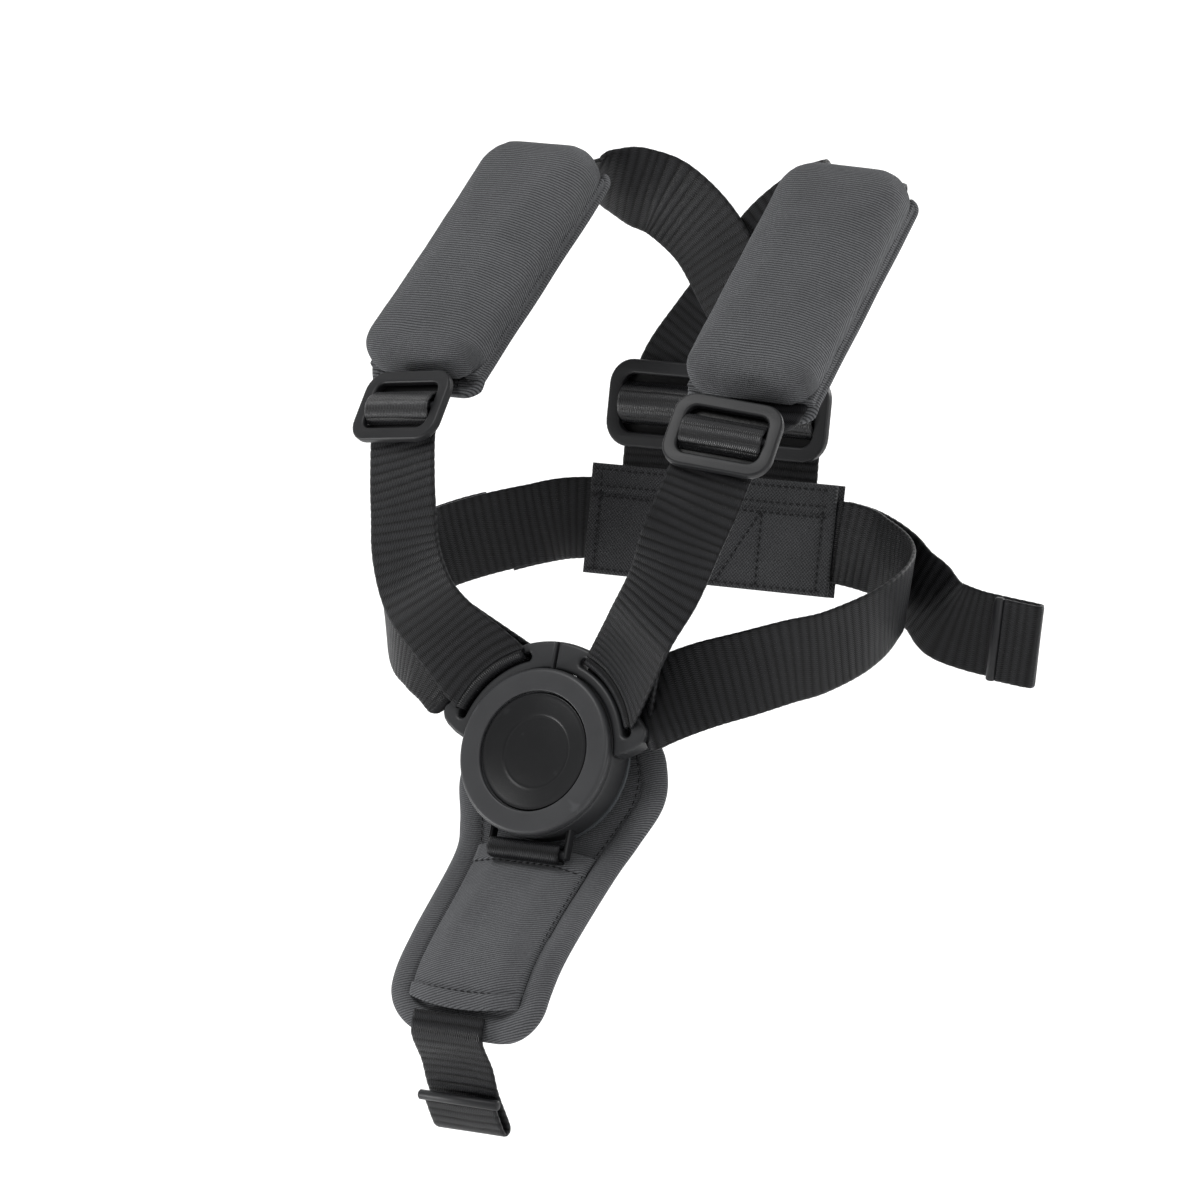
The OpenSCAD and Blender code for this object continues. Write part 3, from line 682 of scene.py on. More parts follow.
CASE_R, RING_IN = 25.0, 18.0
lathe("buckle_ring", [(RING_IN, -3.2)] + arc(18.4, -0.4, 0.4, 180, 90, 5)
      + [(19.2, 0.0), (22, 0.02), (23.6, -0.02)] + arc(23.6, -1.4, 1.38, 90, 0, 8)
      + [(CASE_R, -3.1), (24.6, -3.2), (RING_IN, -3.2)], "buckle", NYLON_LIT, ["buckle_bezel"])
lathe("buckle_case", [(19.3, -3.45), (24.6, -3.45)] + arc(24.7, -3.8, 0.3, 90, 0, 3)
      + [(CASE_R, -5), (24.9, -9), (24.75, -12.6)] + arc(24.2, -13.0, 0.5, 0, -90, 4)
      + [(23.2, -13.5), (23.2, -5.0), (19.3, -5.0), (19.3, -3.45)], "buckle", NYLON)


def dish(r, rim=16.0, depth=1.9, ring=10.8):
    """Height of the button's hollow face, with a fine ring pressed into it."""
    return -1.05 - depth * (1 - (r / rim) ** 2) - 0.16 * math.exp(-((r - ring) / 0.35) ** 2)


lathe("release_disc", [(0, -4.2), (17.3, -4.2), (17.5, -4.0), (17.5, -1.5)]
      + arc(17.1, -1.2, 0.4, 0, 90, 5) + [(16.6, -0.86)] + [(r, dish(r)) for r in np.linspace(16, 0, 90)],
      "button", GLOSS, ["release_button"])
WELL_IN, WELL_OUT, WELL_TOP, WELL_LOW = 17.75, 18.05, -1.4, -5.0
lathe("button_well", [(WELL_IN, WELL_TOP), (WELL_OUT, WELL_TOP), (WELL_OUT, WELL_LOW),
                      (WELL_IN, WELL_LOW), (WELL_IN, WELL_TOP)], "buckle", NYLON)


def return_spring(r=4.4, wire=0.42, low=-7.2, rise=2.45, turns=3, steps=72, sides=10):
    """The button's coil spring."""
    coil = []
    for q in np.arange(steps + 1) / steps:
        a = 2 * math.pi * turns * q
        for b in np.linspace(0, 2 * math.pi, sides, endpoint=False):
            rb = r + wire * math.cos(b)
            coil.append((rb * math.cos(a), rb * math.sin(a), low + rise * q + wire * math.sin(b)))
    ob = build("return_spring", PUCK(coil), tube_faces(steps + 1, sides), STEEL, "buckle", ["button_spring"])
    fix_normals(ob)
    foot = (PUCK([0, 0, low - wire]) + LAYOUT) * MM
    tuple(PUCK.z)
    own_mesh(ob)


return_spring()


def solid(name, outline_loops, z0, z1, frame_, body, mat=NYLON_PAINTED_SHADE, replaces=(),
          bevel=0.5, segs=3):
    """An extruded plate with rounded edges: the first loop is the outside, the others are holes."""
    cu_ = bpy.data.curves.new(name, "CURVE")
    cu_.dimensions = "2D"
    cu_.fill_mode = "BOTH"
    for loop in outline_loops:
        sp = cu_.splines.new("POLY")
        sp.points.add(len(loop) - 1)
        for pt, (x, y) in zip(sp.points, loop):
            pt.co = (x * MM, y * MM, 0, 1)
        sp.use_cyclic_u = True
    half = abs(z1 - z0) / 2
    bevel = min(bevel, half * 0.9)
    cu_.extrude = (half - bevel) * MM
    cu_.bevel_depth = bevel * MM
    cu_.bevel_resolution = segs
    cu_.offset = -bevel * MM
    tmp = bpy.data.objects.new(name + "_tmp", cu_)
    bpy.context.scene.collection.objects.link(tmp)
    bpy.context.view_layer.update()
    me = bpy.data.meshes.new_from_object(tmp)
    bpy.data.objects.remove(tmp)
    co = get_co(me) / MM
    co[:, 2] += (z0 + z1) / 2
    faces = [list(p.vertices) for p in me.polygons]
    bpy.data.meshes.remove(me)
    ob = build(name, frame_(co), faces, mat, body, replaces)
    fix_normals(ob, weld=0.00001)
    ob.data.set_sharp_from_angle(angle=math.radians(35))
    return ob


def polar(r, a):
    return (r * math.cos(math.radians(a)), r * math.sin(math.radians(a)))


def slot_end(r, a, way):
    """The round end of a slot whose middle is at radius r and angle a, going the way its outline goes."""
    return [polar(r + way * 1.3 * math.cos(q), a + way * 2.4 * math.sin(q))
            for q in np.linspace(0.4, math.pi - 0.4, 5)]


def tongue_outline():
    """An arc of a ring beside the case, with a lobe at its lower end and an arc slot for the strap."""
    outer = arc(0, 0, 33.6, 89.5, 26, 26)
    lobe = [(34.6, 10.6), (34.9, 8.8), (34.2, 7.0), (32.6, 5.3), (29.5, 3.2), (26.4, 1.8)]
    inner = arc(0, 0, 25.08, 4.5, 89.3, 30)
    slot_r, low, high = 29.6, 17.5, 71
    hole = (arc(0, 0, slot_r + 1.3, low, high, 20) + slot_end(slot_r, high, 1)
            + arc(0, 0, slot_r - 1.3, high, low, 20) + slot_end(slot_r, low, -1))
    return [outer + lobe + inner, hole]


def round_rect(w, h, r, n=9):
    pts = []
    for cx, cy, a0 in ((w / 2 - r, h / 2 - r, 0), (-w / 2 + r, h / 2 - r, 90),
                       (-w / 2 + r, -h / 2 + r, 180), (w / 2 - r, -h / 2 + r, 270)):
        pts += arc(cx, cy, r, a0, a0 + 90, n)
    return pts


def box_solid(name, lo, hi, frame_, body, mat=NYLON, replaces=(), bevel=0.3):
    (x0, y0, z0), (x1, y1, z1) = lo, hi
    r = min(0.6, (x1 - x0) / 4, (y1 - y0) / 4)
    loop = [(x + (x0 + x1) / 2, y + (y0 + y1) / 2) for x, y in round_rect(x1 - x0, y1 - y0, r, 5)]
    return solid(name, [loop], z0, z1, frame_, body, mat, replaces, bevel)


tongue = solid("right_tongue_plate", tongue_outline(), -9.5, -3.0, PUCK, "harness", NYLON,
               replaces=["right_tongue"], bevel=1.1, segs=4)
mirrored(tongue)
# the strap where it turns round the tongue, inside the slot
turn = solid("right_slot_turn", [arc(0, 0, 31.0, 17, 71.5, 22) + arc(0, 0, 28.2, 71.5, 17, 22)],
             -8.9, -7.4, PUCK, "harness", WEB, bevel=0.2)
mirrored(turn)
for x0, nm in ((6, "right"), (-12, "left")):
    box_solid(nm + "_prong", (x0, 9, -8.9), (x0 + 6, 26, -6.9), PUCK, "harness")

# two arms from the case carry the bar that the crotch strap loops round
arm = box_solid("right_bar_arm", (12.3, -29.8, -10.3), (13.7, -20, -6.8), PUCK, "buckle", NYLON_PAINTED_SHADE,
                replaces=["buckle_housing"], bevel=0.7)
mirrored(arm)


def bar(name, frame_, length, z, body, r=1.4, replaces=(), segs=24):
    verts = [frame_([x, r * math.cos(a), z + r * math.sin(a)])
             for x in (-length / 2, length / 2) for a in np.linspace(0, 2 * math.pi, segs, endpoint=False)]
    ob = build(name, verts, tube_faces(2, segs), NYLON_PAINTED_SHADE, body, replaces)
    fix_normals(ob)
    ob.data.set_sharp_from_angle(angle=math.radians(40))
    return ob


bar("crotch_bar_pin", Frame(PUCK([0, -28.6, -8.0]), (1, 0, 0), z=PUCK.z), 26.6, 0, "buckle", r=1.5,
    replaces=["crotch_bar"])

# -------------------- adjusters and slider
# section of a strap's fold over a bar
ARCH = [(5.4, -4.2), (4.9, -2.4), (3.9, -0.6), (2.2, 0.8), (0, 1.35),
        (-2.2, 0.8), (-3.9, -0.6), (-4.9, -2.4), (-5.4, -4.2)]


def arch(name, frame_, x0, body, replaces, seed, w=25.0, lift=0.0, stretch=1.0):
    st = [np.r_[frame_([x0, y * stretch, z + lift]), frame_.x] for y, z in ARCH]
    return web(name, st, body, WEB_PAINTED_HIGHLIGHT, w=w, replaces=replaces, seed=seed, held="folded", step=0.22)


def underlay(name, half_w, half_h, x_mid, z0, z1, frame_, body):
    """A plain patch of web in a frame's window, for the strap's second layer."""
    return box_solid(name, (x_mid - half_w, -half_h, z0), (x_mid + half_w, half_h, z1), frame_, body,
                     WEB, bevel=0.1)


ADJ = Frame([55.1, -89.4, 45.9], (0.98, 0.17, -0.115), up=(-0.02, 0.6, 0.8))
ring = solid("right_adjuster_frame", [round_rect(33.6, 23.4, 6.6), round_rect(25.3, 15.3, 3.2)], -2.8, 0,
             ADJ, "right_adjuster", replaces=["right_adjuster"], bevel=0.75, segs=4)
mirrored(ring)
mirrored(bar("right_adjuster_bar", ADJ, 27.5, -1.4, "right_adjuster"))
fold_over = arch("right_adjuster_fold", ADJ, 0, "right_adjuster", ["right_adjuster_loop"], 21)
mirrored(fold_over)
mirrored(underlay("right_adjuster_underlay", 13.2, 8.4, 0, -3.5, -2.95, ADJ, "right_adjuster"))

SLIDER = Frame([0, 2.4, 36.5], (1, 0, 0), up=(0, 0.19, 0.98))
solid("back_slider_frame", [round_rect(77, 27, 8.0), round_rect(68, 18.0, 4.2)], -3, 0, SLIDER,
      "rear_slider", replaces=["rear_slider"], bevel=0.8, segs=4)
bar("back_slider_bar", SLIDER, 70, -1.5, "rear_slider")
for sgn, nm, replaced, seed in ((1, "right", ["rear_slider_loops"], 23), (-1, "left", [], 24)):
    underlay("back_slider_underlay_" + nm, 13.75, 9.7, sgn * 20.75, -3.9, -3.2, SLIDER, "rear_slider")
    arch("back_slider_fold_" + nm, SLIDER, sgn * 20.7, "rear_slider", replaced, seed,
         lift=-0.15, stretch=1.15, w=26.6)


# -------------------- quilted pieces
def edge_distance(xy, outline):
    a = np.asarray(outline, float)
    b = np.roll(a, -1, 0)
    ab = b - a
    best = np.full(len(xy), 1e9)
    for p, d in zip(a, ab):
        t = np.clip(((xy - p) @ d) / max(d @ d, 1e-9), 0, 1)
        best = np.minimum(best, np.linalg.norm(xy - p - t[:, None] * d, axis=1))
    return best


def quilt(name, X, S, place, top, bottom, mat, body, replaces=()):
    """Closed cloth form over a grid of flat coordinates X, S. place gives centre and normal; top and
    bottom are its two heights."""
    c, nn = place(X, S)
    n, m = X.shape
    verts = np.concatenate([c + nn * top[..., None], c - nn * bottom[..., None]]).reshape(-1, 3)
    faces = grid_faces(n, m)
    faces += [tuple(v + n * m for v in f[::-1]) for f in grid_faces(n, m)]
    ring = [(0, j) for j in range(m)] + [(i, m - 1) for i in range(1, n)] + \
           [(n - 1, j) for j in range(m - 2, -1, -1)] + [(i, 0) for i in range(n - 2, 0, -1)]
    idx = [i * m + j for i, j in ring]
    for p, q in zip(idx, idx[1:] + idx[:1]):
        faces.append((p, q, q + n * m, p + n * m))
    uv = np.stack([X, S], -1).reshape(-1, 2) / 10
    ob = build(name, verts, faces, mat, body, replaces, uv=np.concatenate([uv, uv]))
    fix_normals(ob)
    return ob


def stepped(d, a, b):
    """0 below a, 1 above b, and smooth between."""
    t = np.clip((d - a) / (b - a), 0, 1)
    return t * t * (3 - 2 * t)


def groove(d, width):
    """A pressed line where d is 0."""
    return np.exp(-(d / width) ** 2)


def rounded(d, r):
    """Rises from 0 to 1 as a quarter circle over the distance r from an edge."""
    return 1 - (1 - np.clip(d / r, 0, 1)) ** 2


def crowded(n, q):
    """n values from -1 to 1 that crowd towards both ends, more so as q nears 1."""
    return np.sin(np.linspace(-1, 1, n) * math.pi / 2 * q) / math.sin(math.pi / 2 * q)


# back panel: its middle is the frame's origin, and it leans with UP
UP = unit([0, 0.19, 0.98])
OUTP = np.array([0, -UP[2], UP[1]])
RIGHTWARD = np.array([1.0, 0, 0])
PANEL_X, PANEL_Y = 43, 17       # half sizes
SEAM_X, BAND_Y = 18, 8.3        # the sewn lines of the front, and the lower edge of its top band
FACE_OFF, LINING_OFF = 4.8, 0.5


def panel_point(x, y, off):
    return off * OUTP + x * RIGHTWARD + y * UP - LAYOUT


def panel_piece(name, off, replaces, front):
    X, S = np.meshgrid(PANEL_X * crowded(121, 0.96), PANEL_Y * crowded(57, 0.96))
    d = np.minimum(PANEL_X - np.abs(X), PANEL_Y - np.abs(S))
    base = 0.55 * np.sqrt(np.clip(rounded(d, 0.9), 0.02, 1))
    hem = 1.3 * stepped(S, 8.5, 8.9) + 0.08 * stepped(np.abs(X), 39.6, 40.0)
    sewn = 1.4 * groove(S - 8.1, 0.4) + groove(S - 13.8, 0.4) * 0.6 + groove(np.abs(X) - 39.0, 0.5)
    if front:
        low = S < BAND_Y
        sewn += groove(X - SEAM_X + 0.02 * S, 0.45) * low
        sewn += groove(X + SEAM_X, 0.45) * low
        sewn += groove((X - SEAM_X) - (S - BAND_Y) * 0.62, 0.55) * low
    soft = 0.12 * np.sin(X * 0.31 + 1) * np.sin(S * 0.42) + 0.10 * np.sin(X * 0.13 + S * 0.2)
    height = base * (1 + hem) - 0.26 * np.clip(sewn, 0, 1.4) + soft * np.clip(d / 3, 0, 1)
    flat_side = np.full_like(height, 0.3)
    top, bottom = (height, flat_side) if front else (flat_side, np.clip(height, 0.1, 0.5))

    def place(X_, S_):
        c = panel_point(X_[..., None], S_[..., None], off)
        return c, np.broadcast_to(OUTP, c.shape)
    return quilt(name, X, S, place, top, bottom, CANVAS, "harness", replaces)


for layer in (panel_piece("back_panel_face", FACE_OFF, ["back_panel_front"], True),
              panel_piece("back_panel_lining", LINING_OFF, ["back_panel_rear"], False)):
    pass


def panel_line(x0, y0, x1, y1, up=0.0):
    k = np.linspace(0, 1, 24)[:, None]
    pts = panel_point(x0 * (1 - k) + x1 * k, y0 * (1 - k) + y1 * k, FACE_OFF + 0.77 + up)
    return pts, np.broadcast_to(OUTP, pts.shape)


BAND_LIFT = 0.72
panel_rows = [panel_line(-42, y, 42, y, BAND_LIFT) for y in (10.2, 15.2)]
panel_rows += [panel_line(-42, y, 42, y) for y in (7.0, -15.6)]
panel_rows += [panel_line(x, -16, x, 16) for x in (39.0, -39.0)]
panel_rows += [panel_line(x, -16, x, 7) for x in (SEAM_X, -SEAM_X)] + [panel_line(SEAM_X, 7.5, 3.5, -16)]
stitches("panel_stitching", panel_rows, "harness", r=0.24, lift=0.06)

# crotch pad: a rolled border round a flat field
SIDE = smooth([[-77.5, -40], [-82.6, -55], [-87.2, -66], [-94.2, -77.5], [-102.6, -86.2],
               [-126.4, -103.6], [-136.5, -113], [-141, -121], [-143, -129]], 16)
SIDE_S = run_length(SIDE)
WIDTHS = smooth([[v] for v in (50, 66, 70, 61, 55, 53, 53, 52, 50)], 16)[:, 0]
PAD_LEN = SIDE_S[-1]


def crotch_place(X, S):
    """Centre and normal of the pad at X across and S along its side curve."""
    y = np.interp(S, SIDE_S, SIDE[:, 0])
    z = np.interp(S, SIDE_S, SIDE[:, 1])
    e = 2.0
    ty = np.interp(S + e, SIDE_S, SIDE[:, 0]) - np.interp(S - e, SIDE_S, SIDE[:, 0])
    tz = np.interp(S + e, SIDE_S, SIDE[:, 1]) - np.interp(S - e, SIDE_S, SIDE[:, 1])
    ln = np.sqrt(ty ** 2 + tz ** 2)
    nn = np.stack([np.zeros_like(ty), -np.abs(tz / ln), np.abs(ty / ln)], -1)
    return np.stack([X - 0.8 * np.sin(math.pi * np.clip(S / PAD_LEN, 0, 1)), y, z], -1), nn


def half_width(s):
    """Half the pad's width at s, drawn in at both ends by the radius of the corners."""
    r0, r1 = 15.0, 13.0
    t0 = np.clip((r0 - s) / r0, 0, 1)
    t1 = np.clip((s - (PAD_LEN - r1)) / r1, 0, 0.9999)
    drawn_in = r0 * (1 - np.sqrt(1 - t0 ** 2)) + r1 * (1 - np.sqrt(1 - t1 ** 2))
    return np.interp(s, SIDE_S, WIDTHS) / 2 - drawn_in


ROLL = 7.6      # width of the rolled border
STRAP_RISE = 2.5


def crotch_body():
    rows, columns = 181, 101
    q = np.linspace(0, 1, rows)
    along = ((1 - np.cos(q * math.pi)) / 2 * 0.35 + q * 0.65) * PAD_LEN
    S, U = np.meshgrid(along, crowded(columns, 0.93), indexing="ij")
    X = U * half_width(S)
    edge = half_width(along)
    outline = np.concatenate([np.stack([edge, along], 1), np.stack([-edge, along], 1)[::-1]])
    dist = edge_distance(np.stack([X, S], -1).reshape(-1, 2), outline).reshape(X.shape)
    roll = np.sqrt(np.clip(1 - ((np.clip(dist, 0, ROLL) - ROLL / 2) / 3.9) ** 2, 0.0, 1))
    uneven = np.sin(X * 0.21 + S * 0.11) * np.sin(S * 0.23 + 0.6)
    top = np.where(dist < ROLL / 2, 3.0 * roll, 1.35 + 1.65 * roll) + 0.12 * uneven * np.clip(dist / 4, 0, 1)
    top = np.where(dist > ROLL, 1.35 + 0.35 * stepped(dist, ROLL, 9.6) + 0.10 * uneven, top)
    bottom = 2.3 * np.sqrt(np.clip(rounded(dist, 3.2), 0.003, 1))
    ob = quilt("crotch_pad_body", X, S, crotch_place, np.maximum(top, 0.12), bottom, KNIT_FINE, "crotch",
               ["crotch_pad"])


# the pocket over the field is hemmed at both ends, and the strap under it shows as a rise
POCKET_0, POCKET_1 = 49.0, PAD_LEN - 9.0


def strap_rise(x):
    return STRAP_RISE * (1 - stepped(np.abs(x), 9, 21))


def crotch_pocket():
    S, U = np.meshgrid(np.linspace(POCKET_0, POCKET_1, 101), np.linspace(-1, 1, 61), indexing="ij")
    inner = half_width(np.minimum(S, PAD_LEN - 18)) - 7.9
    X = U * inner
    sagged = S + (2.2 * (1 - U ** 2) - 1.2) * stepped(S, POCKET_1 - 12, POCKET_1)
    hem_low = stepped(S, POCKET_1 - 4.4, POCKET_1 - 4.0)
    hem_top = 1 - stepped(S, POCKET_0 + 6.0, POCKET_0 + 6.5)
    edge = np.clip((1 - np.abs(U)) * inner / 1.2, 0, 1)
    lift = 1.6 + (0.7 + strap_rise(X)) * edge + 0.7 * hem_low + 0.5 * hem_top \
        - 0.28 * groove(S - (POCKET_1 - 4.6), 0.5) - 0.28 * groove(S - (POCKET_0 + 6.9), 0.5) \
        + 0.12 * np.sin(X * 0.35 + S * 0.15)
    end = np.minimum(S - POCKET_0, POCKET_1 - S)
    thick = 0.45 * np.sqrt(np.clip(rounded(end, 0.6), 0.04, 1)) * np.clip(edge + 0.3, 0, 1) \
        + 0.25 * hem_low * np.clip(end / 0.6, 0, 1)

    def place(X_, S_):
        c, nn = crotch_place(X_, S_)
        return c + nn * lift[..., None], nn
    ob = quilt("crotch_pocket_face", X, sagged, place, thick, thick, KNIT_FINE, "crotch",
               ["crotch_pocket"])


def border_line(sgn):
    """A seam inside the rolled border, on one side."""
    along = np.linspace(12, PAD_LEN - 14, 70)
    c, nn = crotch_place(sgn * (half_width(along) - 8.6), along)
    return c + nn * 2.3, nn


def hem_line(s_mid, sag, height, half=18.5):
    x = np.linspace(-half, half, 50)
    c, nn = crotch_place(x, s_mid + sag * (1 - (x / half) ** 2))
    return c + nn * (height + strap_rise(x))[:, None], nn


crotch_body()
crotch_pocket()
stitches("crotch_stitching", [border_line(1), border_line(-1), hem_line(POCKET_1 - 4.6, 1.0, 3.05),
                              hem_line(POCKET_0 + 6.9, 0, 2.75)], "crotch", r=0.22, lift=0.08)

# section of the crotch strap's fold round its bar, on the buckle's axes
LOOP = [(-26.4, -11.4), (-26.2, -8.6), (-26.2, -6.6), (-26.6, -5.5), (-27.6, -5.1), (-29.2, -5.1),
        (-30.5, -5.6), (-31.0, -6.8), (-31.0, -8.8), (-30.6, -11.2), (-30.4, -12.6)]
web("crotch_bar_fold", [np.r_[PUCK([0, y, z]), 1, 0, 0] for y, z in LOOP], "crotch", w=CROTCH_W,
    replaces=["crotch_loop"], seed=31, held="folded", rib=0.14, step=0.25)

# -------------------- shoulder pads
PADF = Frame((PAD_LOW + PAD_HIGH) / 2 - 3 * unit(PAD_HIGH - PAD_LOW), PAD_ACROSS, up=PAD_HIGH - PAD_LOW)


def local(me):
    """A mesh's points on the right pad's axes, in mm."""
    rel = get_co(me) / MM - LAYOUT - PADF.o
    return rel @ PADF.x, rel @ PADF.y, rel @ PADF.z


def pad_uv(ob):
    """The cover's cloth lies flat over the pad and runs down over its two ends."""
    px, py, pz = local(ob.data)
    end = py.max() - 1.0
    drop = np.clip(pz.max() - 1.0 - pz, 0, 30) * stepped(np.abs(py), end - 8, end - 2)
    set_uv(ob.data, np.stack([px, py + np.sign(py) * drop], 1) / 10)


def blow_up(ob, held_z, fill, frames=20, most=1.4 * MM):
    """Cloth under pressure, held below held_z. No point moves further than most."""
    before = get_co(ob.data)
    held = ob.vertex_groups.new(name="held")
    for i in np.nonzero(local(ob.data)[2] < held_z)[0]:
        held.add([int(i)], 1.0, "REPLACE")
    cloth = ob.modifiers.new("cloth", "CLOTH")
    st = cloth.settings
    st.quality = 6
    st.mass = 0.3
    st.use_pressure = True
    st.uniform_pressure_force = 4.0 * fill * 1.6
    st.tension_stiffness = 15
    st.compression_stiffness = 15
    st.shear_stiffness = 5
    st.bending_stiffness = 0.6
    st.vertex_group_mass = "held"
    st.effector_weights.gravity = 0.0
    cloth.point_cache.frame_start, cloth.point_cache.frame_end = 1, frames
    sc = bpy.context.scene
    sc.frame_start, sc.frame_end = 1, frames
    for f in range(1, frames + 1):
        sc.frame_set(f)
    apply_mods(ob)
    move = get_co(ob.data) - before
    ln = np.linalg.norm(move, axis=1)
    move *= (np.minimum(ln, most) / np.maximum(ln, 1e-9))[:, None]
    set_co(ob.data, before + move)
    sc.frame_set(1)
    ob.vertex_groups.clear()


PAD_FILL, BACKING_FILL = 0.85, 0.5


def cushion(name, w, l, h, z0, replaces):
    """The right pad's cover: a rounded box blown up as cloth, held at its sewn edge."""
    top_half, low_half = np.array(round_rect(w, l, 10.0, 10)), np.array(round_rect(w, l, 8.0, 10))
    edge = np.where(top_half[:, 1:] > 0, top_half, low_half)
    rings = []
    for q, inset in ((0.0, 1.2), (0.05, 0.3), (0.12, 0.0), (0.52, 0.0), (0.74, 0.7), (0.9, 2.4),
                     (0.97, 4.8), (1.0, 8.2)):
        f = np.array([(w - 2 * inset) / w, (l - 2 * inset) / l])
        rings.append(np.column_stack([edge * f, np.full(len(edge), z0 + h * q)]))
    ob = build(name, PADF(np.concatenate(rings)), tube_faces(len(rings), len(edge)), KNIT, "right_pad",
               replaces)
    fix_normals(ob)
    remesh = ob.modifiers.new("remesh", "REMESH")
    remesh.mode = "VOXEL"
    remesh.voxel_size = 0.0016
    apply_mods(ob)
    blow_up(ob, z0 + 1.3, PAD_FILL)
    soften = ob.modifiers.new("smooth", "SMOOTH")
    soften.factor, soften.iterations = 0.5, 3
    sub = ob.modifiers.new("sub", "SUBSURF")
    sub.levels = sub.render_levels = 1
    apply_mods(ob)
    ob.data.polygons.foreach_set("use_smooth", [True] * len(ob.data.polygons))
    pad_uv(ob)
    return ob


def backing(name, replaces, w=42.8, low=-47.6, high=44.5, corner=6.5):
    """A flat padded layer a little larger than the cushion, sewn round near its edge."""
    half_l, mid = (high - low) / 2, (low + high) / 2
    outline = np.array(round_rect(w, high - low, corner, 14)) + np.array([0, mid])
    S, X = np.meshgrid(half_l * crowded(121, 0.97), w / 2 * crowded(71, 0.94), indexing="ij")
    past = np.clip(np.abs(S) - (half_l - corner), 0, corner)
    X = X * (w / 2 - (corner - np.sqrt(np.clip(corner ** 2 - past ** 2, 0, None)))) / (w / 2)
    S = S + mid
    d = edge_distance(np.stack([X, S], -1).reshape(-1, 2), outline).reshape(X.shape)
    body = 1.35 * np.sqrt(np.clip(rounded(d, 1.5), 0.01, 1)) - 0.45 * groove(d - 3.2, 0.45)

    def place(X_, S_):
        z = -2.7 + 1.75 * stepped(np.abs(X_), 15, 18) * (1 - stepped(-S_, 41, 44.5))
        c = PADF(np.stack([X_, S_, z], -1))
        return c, np.broadcast_to(PADF.z, c.shape)
    ob = quilt(name, X, S, place, body + 0.10 * np.sin(S * 0.3), body + 0.12 * np.sin(S * 0.2 + X * 0.15),
               KNIT, "right_pad", replaces)
    return ob


def settle(ob, angle=-math.radians(4.6), pivot=38.0, stretch=0.97, slide=0.8):
    """Turn a pad a little about its upper end, and pull it shorter, where it lies on its strap."""
    x, y, z = local(ob.data)
    y = (y - pivot) * stretch
    ca, sa = math.cos(angle), math.sin(angle)
    out = PADF(np.stack([x * ca - y * sa, x * sa + y * ca + pivot - slide, z], -1))
    set_co(ob.data, (out + LAYOUT) * MM)


right_cushion = cushion("right_pad_cushion_form", 41.5, 90.5, 13.0, 0.8,
                        ["right_pad_cushion", "right_pad_core"])
mirrored(right_cushion)
right_backing = backing("right_pad_backing_form", ["right_pad_backing"])
mirrored(right_backing)
askew = [right_cushion, right_backing]
for x0, nm, replaced in ((14.8, "outer", ["right_pad_seams"]), (-20.6, "inner", [])):
    seam = box_solid("right_pad_seam_" + nm, (x0, -42.5, -2.6), (x0 + 5.8, 39.5, 2.4), PADF, "right_pad",
                     KNIT, replaced, bevel=0.8)
    pad_uv(seam)
    mirrored(seam)
    askew.append(seam)
for piece in askew:
    settle(piece)

# -------------------- camera, light, stage
AZ, EL, DIST = math.radians(31.0), math.radians(10.3), 2000.0
view_right = np.array([math.cos(AZ), math.sin(AZ), 0.0])
view_back = np.array([math.sin(AZ) * math.cos(EL), -math.cos(AZ) * math.cos(EL), math.sin(EL)])
view_up = np.array([-math.sin(AZ) * math.sin(EL), math.cos(AZ) * math.sin(EL), math.cos(EL)])
look = LAYOUT - 33.99390 * view_right - 21.49390 * view_up      # a little below and left of the panel
cam_data = bpy.data.cameras.new("camera")
cam_data.lens, cam_data.sensor_width = 196.8, 36.0
cam_data.clip_end = 20
cam = bpy.data.objects.new("camera", cam_data)
bpy.context.scene.collection.objects.link(cam)
cam.matrix_world = Matrix.LocRotScale(
    Vector((look + view_back * DIST) * MM), Matrix(np.stack([view_right, view_up, view_back], 1)), None)
bpy.context.scene.camera = cam

CENTRE = Vector((0, -0.06, -0.02))


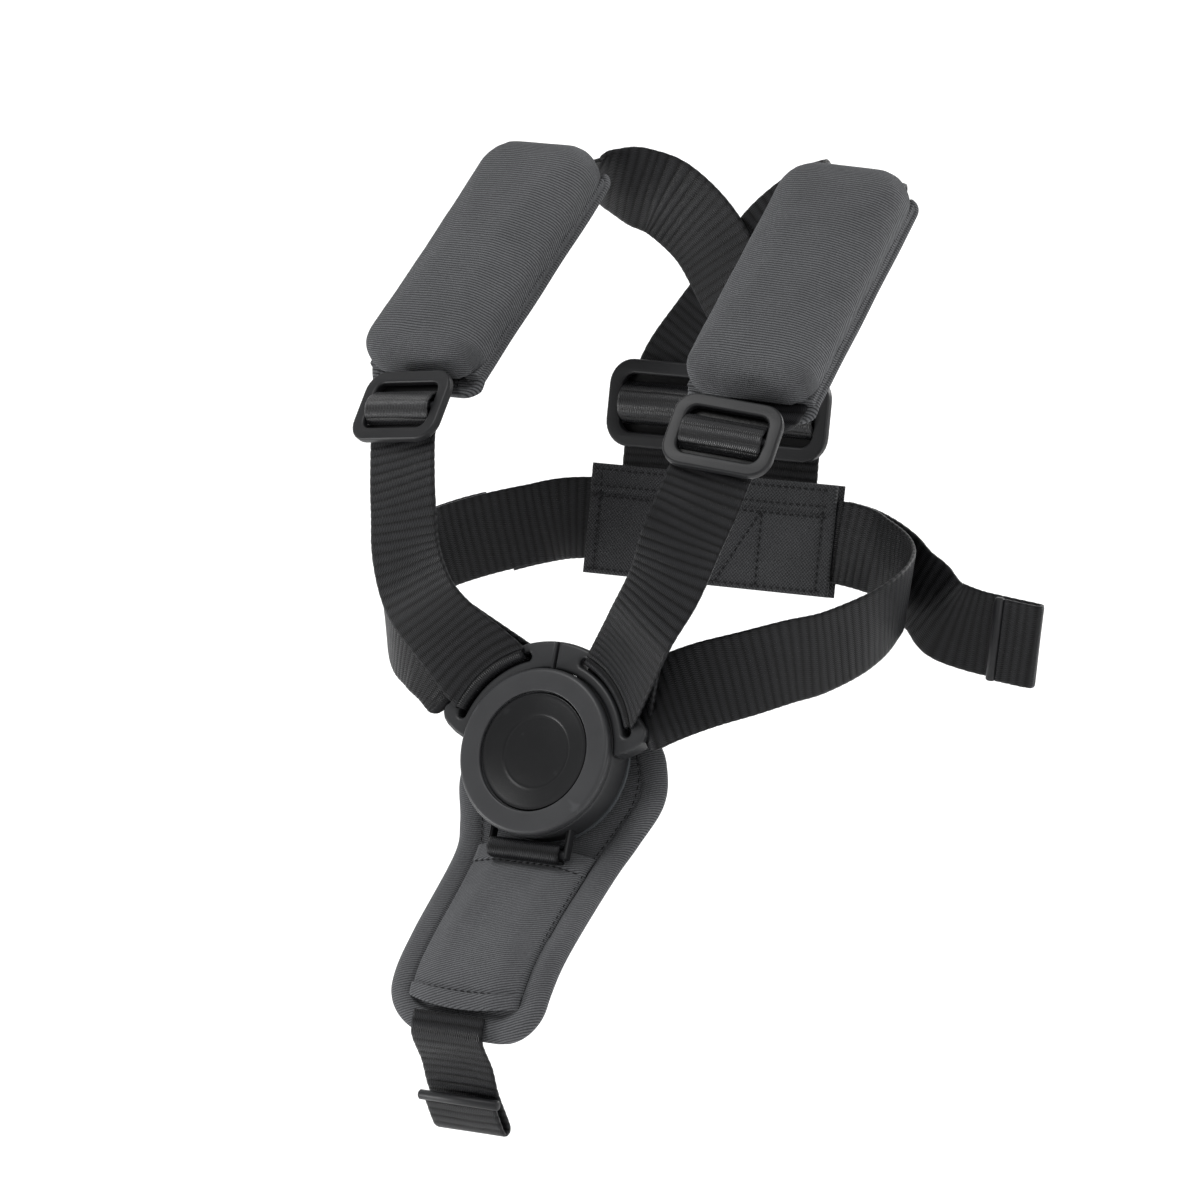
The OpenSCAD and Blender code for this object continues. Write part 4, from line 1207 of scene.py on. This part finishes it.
def area_light(name, offset, target, size, power):
    """A square lamp at an offset from CENTRE, in metres, turned to its target."""
    d = bpy.data.lights.new(name, "AREA")
    d.shape, d.size, d.energy = "SQUARE", size, power
    o = bpy.data.objects.new(name, d)
    bpy.context.scene.collection.objects.link(o)
    o.location = CENTRE + offset
    o.rotation_euler = (target - o.location).to_track_quat("-Z", "Y").to_euler()


def seen(right, back, up):
    return Vector(view_right * right + view_back * back + view_up * up)


area_light("key", seen(-0.45, 0.5, 0.8), CENTRE, 0.45, 8)
area_light("fill", seen(0.7, 0.9, 0.25), CENTRE, 0.7, 5)
area_light("rim_right", seen(0.75, -0.35, 0.45), CENTRE, 0.35, 6)
area_light("low_left", Vector((-0.66, -0.5, -0.24)), CENTRE + Vector((0.03, 0, 0)), 0.2, 4.5)
world = bpy.data.worlds.new("studio")
world.use_nodes = True
sky = world.node_tree.nodes["Background"]
sky.inputs[0].default_value = (1, 1, 1, 1)
sky.inputs[1].default_value = 0.74
bpy.context.scene.world = world


def studio_floor(z, front=-9.0, back=2.8, sweep=0.5, high=3.0, half_w=7.0):
    """A floor that sweeps up into a wall behind the object, in metres."""
    mat, nt, bs = new_mat("stage")
    feed_all(nt, bs, {"Base Color": (0.93, 0.93, 0.93), "Roughness": 0.9,
                      "Emission Color": (1.0, 1.0, 1.0), "Emission Strength": 0.36})
    away = Vector((-view_back[0], -view_back[1], 0)).normalized()
    profile = [(front, 0.0)] + arc(back - sweep, sweep, sweep, -90, 0, 12) + [(back, high)]
    verts = [tuple(away * d + Vector(view_right) * w + Vector((0, 0, z + up)))
             for d, up in profile for w in (-half_w, half_w)]
    faces = [(2 * i, 2 * i + 1, 2 * i + 3, 2 * i + 2) for i in range(len(profile) - 1)]
    me = bpy.data.meshes.new("stage")
    me.from_pydata(verts, [], faces)
    me.polygons.foreach_set("use_smooth", [True] * len(me.polygons))
    me.materials.append(mat)
    ob = bpy.data.objects.new("stage", me)
    bpy.context.scene.collection.objects.link(ob)
    return ob


studio_floor(cad_box[0][2] - 0.34)
bpy.context.scene.view_settings.view_transform = "Standard"
